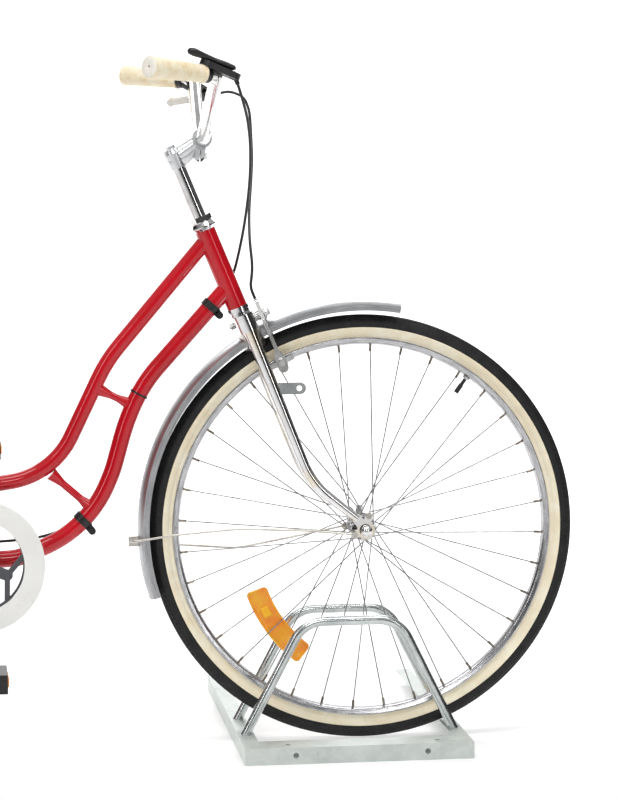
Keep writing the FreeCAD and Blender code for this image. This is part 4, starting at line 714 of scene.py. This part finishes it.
def chain():
    """The chain's links, from the chainring round the cog and back."""
    low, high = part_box("chain")
    line = (low.y + high.y) / 2
    ring = BRACKET.copy()
    ring.y = line
    cog = REAR.copy()
    cog.y = line
    ring_radius = high.x - ring.x - CHAIN_HEIGHT / 2
    cog_radius = cog.x - low.x - CHAIN_HEIGHT / 2
    places = belt_path(ring, ring_radius, cog, cog_radius, PITCH_OF_CHAIN)
    mesh = bmesh.new()
    for k, start in enumerate(places):
        end = places[(k + 1) % len(places)]
        near = 3.4 * MM if k % 2 else 2.3 * MM
        for side in (-1, 1):
            edges = sorted((line + side * near, line + side * (near + PLATE_THICK)))
            link_plate(mesh, start, end, *edges)
        pin = 4.5 * MM
        rivet = [(1.4 * MM, -pin), (1.8 * MM, -pin + 0.3 * MM), (1.8 * MM, pin - 0.3 * MM), (1.4 * MM, pin)]
        lathe(mesh, rivet, start, (0, 1, 0), 10)
        roller = [(3.6 * MM, -2.2 * MM), (3.85 * MM, -1.9 * MM), (3.85 * MM, 1.9 * MM), (3.6 * MM, 2.2 * MM)]
        lathe(mesh, roller, start, (0, 1, 0), 12)
    made = piece("chain_links", mesh, [LOOKS["plated"]], "frame")
    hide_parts("chain")


chain()


# ---- Saddle -----------------------------------------------------------------------------
SADDLE_SHAPE = (
    # share of the length from the back, half width, depth of the side, drop of the top (mm)
    (0.00, 58, 30, 14), (0.03, 78, 36, 7), (0.10, 97, 42, 2.5), (0.20, 99, 42, 1), (0.30, 84, 40, 3),
    (0.42, 60, 38, 6), (0.55, 40, 36, 7), (0.68, 29, 34, 6), (0.82, 23, 30, 5), (0.93, 18, 26, 6),
    (1.00, 9, 18, 12),
)


def blended(rows, share):
    """The row of a table at a share of its length, smoothed between its neighbours."""
    for first, second in zip(rows, rows[1:]):
        if first[0] <= share <= second[0]:
            t = (share - first[0]) / (second[0] - first[0])
            t = t * t * (3 - 2 * t) * 0.5 + t * 0.5
            return [a + (b - a) * t for a, b in zip(first[1:], second[1:])]
    return list(rows[-1][1:])


def saddle_skin(shrink):
    """The saddle's closed shell, as sections across its length."""
    low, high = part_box("saddle")
    mesh = bmesh.new()
    rings = []
    steps = 44
    for k in range(61):
        share = k / 60
        half, depth, drop = (value * MM for value in blended(SADDLE_SHAPE, share))
        half = half - shrink
        depth = depth - shrink
        top = high.z - drop - shrink
        x = low.x + shrink * 2 + (high.x - low.x - shrink * 4) * share
        points = []
        for i in range(steps):
            angle = 2 * math.pi * i / steps
            across = math.copysign(abs(math.cos(angle)) ** 0.72, math.cos(angle)) * half
            lift = math.sin(angle)
            z = top - depth / 2 + (abs(lift) ** 0.75 if lift > 0 else -abs(lift) ** 0.4) * depth / 2
            if lift > 0:
                z -= 0.22 * depth * (abs(across) / max(half, 1e-6)) ** 2
            points.append(Vector((x, CENTRE_Y + across, z)))
        rings.append(ring_of(mesh, points))
    capped(mesh, rings)
    return mesh


SADDLE_GRAIN = 5 * MM
CLOTH_FRAMES = 20


def swell(made, pressure, cap):
    """Blows a closed skin up a little with cloth, and applies it, no point moving more than the cap."""
    remesh = made.modifiers.new("remesh", "REMESH")
    remesh.mode = "VOXEL"
    remesh.voxel_size = SADDLE_GRAIN
    bpy.context.view_layer.objects.active = made
    made.select_set(True)
    bpy.ops.object.modifier_apply(modifier="remesh")
    start_points = [vertex.co.copy() for vertex in made.data.vertices]
    cloth = made.modifiers.new("cloth", "CLOTH")
    cloth.settings.use_pressure = True
    cloth.settings.uniform_pressure_force = pressure
    cloth.settings.effector_weights.gravity = 0
    cloth.settings.quality = 5
    for number in range(1, CLOTH_FRAMES + 1):
        SCENE.frame_set(number)
    bpy.ops.object.modifier_apply(modifier="cloth")
    SCENE.frame_set(1)
    for vertex, before in zip(made.data.vertices, start_points):
        moved = vertex.co - before
        if moved.length > cap:
            vertex.co = before + moved.normalized() * cap


def saddle():
    """The padded cover, closed and a little smaller than its solid before the cloth fills it."""
    shrink = 3 * MM
    mesh = saddle_skin(shrink)
    data = bpy.data.meshes.new("saddle_cover")
    bmesh.ops.recalc_face_normals(mesh, faces=mesh.faces)
    mesh.to_mesh(data)
    mesh.free()
    made = bpy.data.objects.new("saddle_cover", data)
    SCENE.collection.objects.link(made)
    swell(made, 4.0, 5 * MM)
    smooth = made.modifiers.new("smooth", "SUBSURF")
    smooth.levels = 1
    smooth.render_levels = 1
    made.data.shade_smooth()
    made.data.materials.append(LOOKS["leather"])
    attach(made, "seat")
    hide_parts("saddle")


def saddle_piping():
    """The welt round the saddle's edge."""
    low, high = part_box("saddle")
    path = []
    for side in (1, -1):
        shares = [k / 40 for k in range(41)]
        if side < 0:
            shares = shares[::-1][1:-1]
        for share in shares:
            half, depth, drop = (value * MM for value in blended(SADDLE_SHAPE, share))
            x = low.x + 2 * MM + (high.x - low.x - 4 * MM) * share
            z = high.z - drop - depth * 0.72
            path.append(Vector((x, CENTRE_Y + side * (half - 0.5 * MM), z)))
    mesh = bmesh.new()
    rings = []
    for k, point in enumerate(path):
        ahead = (path[(k + 1) % len(path)] - path[k - 1]).normalized()
        side = ahead.cross(Vector((0, 0, 1))).normalized()
        up = side.cross(ahead)
        rings.append(ring_of(mesh, [point + (side * math.cos(a) + up * math.sin(a)) * 1.8 * MM
                                    for a in (2 * math.pi * i / 10 for i in range(10))]))
    skin(mesh, rings, closed_along=True)
    piece("saddle_piping", mesh, [LOOKS["leather"]], "seat")


saddle()
saddle_piping()


# ---- Reflector, shifter, grip caps, stem neck, fork crown and pedal reflectors -------------
def limb(mesh, path, sizes, up, steps=20):
    """A closed smooth solid along a path, oval across: sizes are (half width, half height) at each point."""
    rings = []
    for k, (point, (wide, high)) in enumerate(zip(path, sizes)):
        ahead = (path[min(k + 1, len(path) - 1)] - path[max(k - 1, 0)]).normalized()
        side = ahead.cross(up).normalized()
        rise = side.cross(ahead)
        turns = [2 * math.pi * i / steps for i in range(steps)]
        rings.append(ring_of(mesh, [point + side * (math.cos(turn) * wide) + rise * (math.sin(turn) * high)
                                    for turn in turns]))
    capped(mesh, rings)


def smooth_path(points, sizes, count):
    """More points and sizes between the given ones, on a soft curve."""
    path, widths = [], []
    last = len(points) - 1
    for k in range(count):
        run = last * k / (count - 1)
        i = min(int(run), last - 1)
        t = run - i
        a, b, c, d = points[max(i - 1, 0)], points[i], points[i + 1], points[min(i + 2, last)]
        path.append(0.5 * ((2 * b) + (c - a) * t + (2 * a - 5 * b + 4 * c - d) * t ** 2
                           + (3 * b - a - 3 * c + d) * t ** 3))
        ease = t * t * (3 - 2 * t)
        widths.append(tuple(sizes[i][j] + (sizes[i + 1][j] - sizes[i][j]) * ease for j in (0, 1)))
    return path, widths


def points_of(node):
    """A CAD node's corners as rows of x, y, z."""
    data = NODES[node].data
    found = np.zeros(len(data.vertices) * 3)
    data.vertices.foreach_get("co", found)
    return found.reshape(-1, 3)


def thin_way(points):
    """The direction in which a flat thing is thinnest, upwards."""
    _, axes = np.linalg.eigh(np.cov((points - points.mean(0)).T))
    way = Vector(axes[:, 0])
    return way if way.z > 0 else -way


def rounded_outline(half_long, half_wide, corner, inset, per_corner=8):
    """A rectangle with round corners, drawn inside by an inset."""
    found = []
    for sign_long, sign_wide, start in ((1, 1, 0), (-1, 1, 90), (-1, -1, 180), (1, -1, 270)):
        for k in range(per_corner + 1):
            angle = math.radians(start + 90 * k / per_corner)
            found.append(((half_long - corner) * sign_long + (corner - inset) * math.cos(angle),
                          (half_wide - corner) * sign_wide + (corner - inset) * math.sin(angle)))
    long_side = []
    for first, second in zip(found, found[1:] + found[:1]):
        long_side.append(first)
        gap = second[0] - first[0]
        for k in range(1, 8) if abs(gap) > half_long * 0.8 else ():
            long_side.append((first[0] + gap * k / 8, first[1] + (second[1] - first[1]) * k / 8))
    return long_side


REFLECTOR_BEND = 0.230       # the radius it is bowed to
REFLECTOR_TURN = math.radians(213.6)             # its place round the wheel
REFLECTOR_SHIFT = 8 * MM
CLIP_PLACE = -20 * MM


def bowed(centre, along, out, side):
    """A point of a plate that is bowed round the hub: its place along, across and through the plate."""
    angle = along / REFLECTOR_BEND
    base = Vector((math.cos(REFLECTOR_TURN), 0, math.sin(REFLECTOR_TURN)))
    way = Vector((-math.sin(REFLECTOR_TURN), 0, math.cos(REFLECTOR_TURN)))
    run = REFLECTOR_BEND + out
    middle_of_bend = centre - base * REFLECTOR_BEND
    return (middle_of_bend + base * (run * math.cos(angle)) + way * (run * math.sin(angle))
            + Vector((0, side, 0)))


def reflector():
    """A bowed amber plate with rounded edges, and its clip over the spokes."""
    centre = middle("wheel_reflector")
    mesh = bmesh.new()
    rings = []
    levels = ((4.2, -1.2), (3.4, -2.6), (1.6, -3.0), (0.4, -2.6), (0.0, -1.4),
              (0.0, 1.4), (0.4, 2.6), (1.6, 3.0), (3.4, 2.6), (4.2, 1.2))
    for inset, side in levels:
        outline = rounded_outline(68 * MM, 18 * MM, 7 * MM, inset * MM)
        rings.append(ring_of(mesh, [bowed(centre, along + REFLECTOR_SHIFT, out, side * MM)
                                    for along, out in outline]))
    capped(mesh, rings)
    made = piece("reflector_plate", mesh, [LOOKS["amber"]], "front_wheel")
    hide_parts("wheel_reflector")
    mesh = bmesh.new()
    for side in (-1, 1):
        rings = []
        for inset, depth in ((0.0, 1.0), (0.0, 3.6), (0.8, 4.4)):
            outline = rounded_outline(9 * MM, 7 * MM, 2 * MM, inset * MM, 4)
            rings.append(ring_of(mesh, [bowed(centre, CLIP_PLACE + along, out, side * depth * MM)
                                        for along, out in outline]))
        capped(mesh, rings)
    piece("reflector_clip", mesh, [LOOKS["clip"]], "front_wheel")


def shifter():
    """The thumb lever as a moulded paddle."""
    points = points_of("shift_lever")
    normal = thin_way(points)
    order = points[np.argsort(points[:, 0])]
    tip = Vector(order[: len(order) // 12].mean(0))
    top = points[(points @ np.array(normal)) > (points @ np.array(normal)).max() - 1.5 * MM]
    foot = Vector(top[np.argsort(top[:, 0])][-len(top) // 12:].mean(0))
    ahead = (foot - tip).normalized()
    start = tip - ahead * 3 * MM
    run = (foot - start).length
    stops = (0.0, 0.04, 0.14, 0.34, 0.56, 0.76, 0.93, 1.0)
    lifts = (0.5, 1.0, 1.6, 1.2, 0.4, 0.0, -0.6, -1.2)
    sizes = ((2.0, 2.0), (5.8, 5.2), (7.2, 6.4), (6.2, 5.0), (6.2, 4.4), (9.6, 5.0), (10.0, 4.6), (4.0, 1.8))
    bases = [start + ahead * (run * stop) + normal * (lift * MM - 0.6 * MM)
             for stop, lift in zip(stops, lifts)]
    path, widths = smooth_path(bases, [(a * MM, b * MM) for a, b in sizes], 40)
    mesh = bmesh.new()
    limb(mesh, path, widths, normal)
    made = piece("shift_paddle", mesh, [LOOKS["black"]], "shift_lever")
    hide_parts("shift_lever")


def pedal_reflectors():
    """Two amber blocks in each pedal's edges."""
    for side in ("right", "left"):
        low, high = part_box(side + "_pedal")
        mesh = bmesh.new()
        for edge, way in ((low.x, -1), (high.x, 1)):
            rings = []
            centre = Vector((edge, (low.y + high.y) / 2, (low.z + high.z) / 2))
            for inset, depth in ((0.0, -1.0), (0.0, 1.4), (0.8, 2.2)):
                outline = rounded_outline(26 * MM, 8 * MM, 2.5 * MM, inset * MM, 4)
                rings.append(ring_of(mesh, [centre + Vector((way * depth * MM, along, out))
                                            for along, out in outline]))
            capped(mesh, rings)
        piece(side + "_pedal_reflectors", mesh, [LOOKS["amber"]], side + "_pedal")


def long_way(points):
    """The direction in which a thing is longest, towards the front."""
    _, axes = np.linalg.eigh(np.cov((points - points.mean(0)).T))
    way = Vector(axes[:, 2])
    return way if way.x > 0 else -way


def grip_caps():
    """A pale dished cap with a small hole on each grip's end."""
    points = points_of("grips")
    for name, side in (("right", -1), ("left", 1)):
        own = points[(points[:, 1] - CENTRE_Y) * side > 0]
        way = long_way(own)
        along = own @ np.array(way)
        last = own[along < along.min() + 0.5 * MM]
        centre = Vector((last.min(0) + last.max(0)) / 2)
        mesh = bmesh.new()
        profile = [(2.0, 1.6), (2.2, -1.0), (3.2, -1.3), (9.0, -1.5), (14.4, -1.3), (16.2, -0.3), (16.4, 1.2),
                   (15.6, 1.6)]
        rings = []
        up = way.orthogonal().normalized()
        other = way.cross(up)
        for k in range(40):
            turn = 2 * math.pi * k / 40
            out = up * math.cos(turn) + other * math.sin(turn)
            rings.append(ring_of(mesh, [centre + out * (far * MM) + way * (depth * MM)
                                        for far, depth in profile]))
        skin(mesh, rings, closed_along=True)
        piece(name + "_grip_cap", mesh, [LOOKS["cap"]], "fork")


NECK_DEPTH = 0.075           # from the stem's top down to below the neck
QUILL_END = 0.028            # from the stem's rearmost point, forwards over the quill's head
CLAMP_END = 0.030            # from its foremost point, back over the bar clamp


def stem_neck():
    """The cast web that fills the neck between the quill's head and the bar clamp."""
    points = points_of("stem")
    top = points[points[:, 2] > points[:, 2].max() - NECK_DEPTH]
    low_x, high_x = top[:, 0].min(), top[:, 0].max()
    back = top[top[:, 0] < low_x + QUILL_END]
    front = top[top[:, 0] > high_x - CLAMP_END]
    start = Vector((back.min(0) + back.max(0)) / 2)
    end = Vector((front.min(0) + front.max(0)) / 2)
    start.y = end.y = CENTRE_Y
    way = (end - start).normalized()
    up = way.cross(Vector((0, 1, 0))).normalized()
    if up.z < 0:
        up = -up
    bases = [start - way * 8 * MM - up * 6 * MM, start - up * 6 * MM, start.lerp(end, 0.35) - up * 5 * MM,
             start.lerp(end, 0.7) - up * 2 * MM, end]
    sizes = [(10.5, 13.0), (12.5, 17.5), (10.0, 14.0), (9.0, 10.5), (9.5, 9.0)]
    path, widths = smooth_path(bases, [(a * MM, b * MM) for a, b in sizes], 30)
    mesh = bmesh.new()
    limb(mesh, path, widths, up, 28)
    piece("stem_neck", mesh, [LOOKS["stem"]], "fork")


BLADE_TOPS = 0.022           # the length of blade that shows where the crown sits


def fork_crown():
    """The wide plated crown that joins the blades under the head tube."""
    points = points_of("fork_blades")
    top = points[points[:, 2] > points[:, 2].max() - BLADE_TOPS]
    centre = Vector((top.min(0) + top.max(0)) / 2)
    centre.y = CENTRE_Y
    heights = (10, 9, 2, -12, -24, -25)
    sizes = ((30.0, 15.0), (39.0, 18.5), (41.0, 20.5), (41.0, 20.0), (39.0, 18.0), (36.0, 15.0))
    mesh = bmesh.new()
    path = [centre + STEERING_UP * (height * MM) for height in heights]
    limb(mesh, path, [(a * MM, b * MM) for a, b in sizes], STEERING_AHEAD, 40)
    piece("fork_crown", mesh, [LOOKS["plated"]], "fork")


reflector()
shifter()
grip_caps()
stem_neck()
fork_crown()
pedal_reflectors()


# ---- Camera, floor and light --------------------------------------------------------------
EYE = Vector((-0.67184, -4.80787, 0.63464))      # from the front hub
YAW = math.radians(6.963)
PITCH = math.radians(5.018)
ROLL = math.radians(-0.522)
LENS = 134.37


def camera():
    """Looks at the front wheel from the bicycle's right side."""
    ahead = Vector((math.sin(YAW) * math.cos(PITCH), math.cos(YAW) * math.cos(PITCH), -math.sin(PITCH)))
    right = Vector((math.cos(YAW), -math.sin(YAW), 0))
    up = right.cross(ahead)
    tilted_right = right * math.cos(ROLL) + up * math.sin(ROLL)
    tilted_up = up * math.cos(ROLL) - right * math.sin(ROLL)
    data = bpy.data.cameras.new("camera")
    data.lens = LENS
    data.sensor_width = 36
    data.clip_start = 0.1
    data.clip_end = 60
    made = bpy.data.objects.new("camera", data)
    turn = Matrix((tilted_right, tilted_up, -ahead)).transposed()
    made.matrix_world = Matrix.Translation(FRONT + EYE) @ turn.to_4x4()
    SCENE.collection.objects.link(made)
    SCENE.camera = made


FLOOR_NEAR = -12.0
FLOOR_FAR = 9.0              # where the floor starts to curve up
CURVE = 2.0
WALL_TOP = 6.0
HALF_FLOOR = 9.0
FLOOR_GAP = 0.0002           # under the tyres and the stand
GLOW_START = -1.0


def floor():
    """A pale floor that curves up into a backdrop, glowing more towards the back as painted light."""
    mesh = bmesh.new()
    profile = [(FLOOR_NEAR, 0.0), (FLOOR_FAR, 0.0)]
    for k in range(1, 13):
        angle = math.radians(90 * k / 12)
        profile.append((FLOOR_FAR + CURVE * math.sin(angle), CURVE * (1 - math.cos(angle))))
    profile.append((FLOOR_FAR + CURVE, WALL_TOP))
    rows = [[mesh.verts.new((x, y, z - FLOOR_GAP)) for y, z in profile] for x in (-HALF_FLOOR, HALF_FLOOR)]
    skin(mesh, rows, closed_round=False)
    data = bpy.data.meshes.new("floor")
    mesh.to_mesh(data)
    mesh.free()
    made = bpy.data.objects.new("floor", data)
    # Painted light: the floor glows though it is no lamp, faintly at the front and strongly towards the back.
    look = Look("glowing_floor_paper", Roughness=0.75, Emission_Strength=0.9, Specular_IOR_Level=0.2)
    glow = look.add("ShaderNodeMapRange")
    glow.inputs["From Min"].default_value = GLOW_START
    glow.inputs["From Max"].default_value = FLOOR_FAR
    look.link(look.split()[1], glow.inputs[0])
    shade = look.ramp(glow.outputs[0], (0.0, 0.073), (0.25, 0.62), (0.6, 1.0))
    look.link(shade, look.shader.inputs["Emission Color"])
    look.colour(look.ramp(look.noise(3, 3), (0.3, (0.86, 0.86, 0.86, 1)), (0.7, (0.90, 0.90, 0.90, 1))))
    data.materials.append(look.material)
    data.shade_smooth()
    SCENE.collection.objects.link(made)


def softbox(name, place, aim, width, height, power):
    """A rectangular light at a place, turned to an aim."""
    data = bpy.data.lights.new(name, "AREA")
    data.shape = "RECTANGLE"
    data.size = width
    data.size_y = height
    data.energy = power
    made = bpy.data.objects.new(name, data)
    made.location = place
    made.rotation_mode = "QUATERNION"
    made.rotation_quaternion = (Vector(aim) - Vector(place)).to_track_quat("-Z", "Y")
    SCENE.collection.objects.link(made)


SKY_STRENGTH = 0.55


def studio_sky():
    """A bright ceiling over a dark horizon, which gives the plated parts their dark lines."""
    world = bpy.data.worlds.new("studio")
    SCENE.world = world
    world.use_nodes = True
    nodes, links = world.node_tree.nodes, world.node_tree.links
    place = nodes.new("ShaderNodeTexCoord")
    split = nodes.new("ShaderNodeSeparateXYZ")
    ramp = nodes.new("ShaderNodeValToRGB")
    links.new(place.outputs["Generated"], split.inputs[0])
    links.new(split.outputs[2], ramp.inputs[0])
    stops = ((0.0, 0.10), (0.10, 0.03), (0.28, 0.06), (0.45, 0.5), (1.0, 0.9))
    while len(ramp.color_ramp.elements) < len(stops):
        ramp.color_ramp.elements.new(1.0)
    for element, (position, grey) in zip(ramp.color_ramp.elements, stops):
        element.position = position
        element.color = (grey, grey, grey, 1)
    links.new(ramp.outputs[0], nodes["Background"].inputs[0])
    nodes["Background"].inputs[1].default_value = SKY_STRENGTH


def lights():
    studio_sky()
    softbox("top_light", (0.3, -1.0, 3.0), (0.3, 0, 0.4), 3.4, 0.7, 44)
    softbox("left_light", (-2.8, -2.8, 1.9), (0.2, 0, 0.5), 0.5, 2.2, 20)
    softbox("right_light", (2.6, -3.2, 1.4), (0.4, 0, 0.5), 0.4, 2.2, 12)
    softbox("front_fill", (0.2, -5.4, 2.6), (0.3, 0, 0.5), 1.8, 0.8, 40)
    softbox("back_light", (0.3, 2.6, 3.0), (0.3, 1.6, 0.0), 3.6, 1.4, 60)
    SCENE.view_settings.view_transform = "Standard"
    SCENE.view_settings.exposure = 0.0


camera()
floor()
lights()
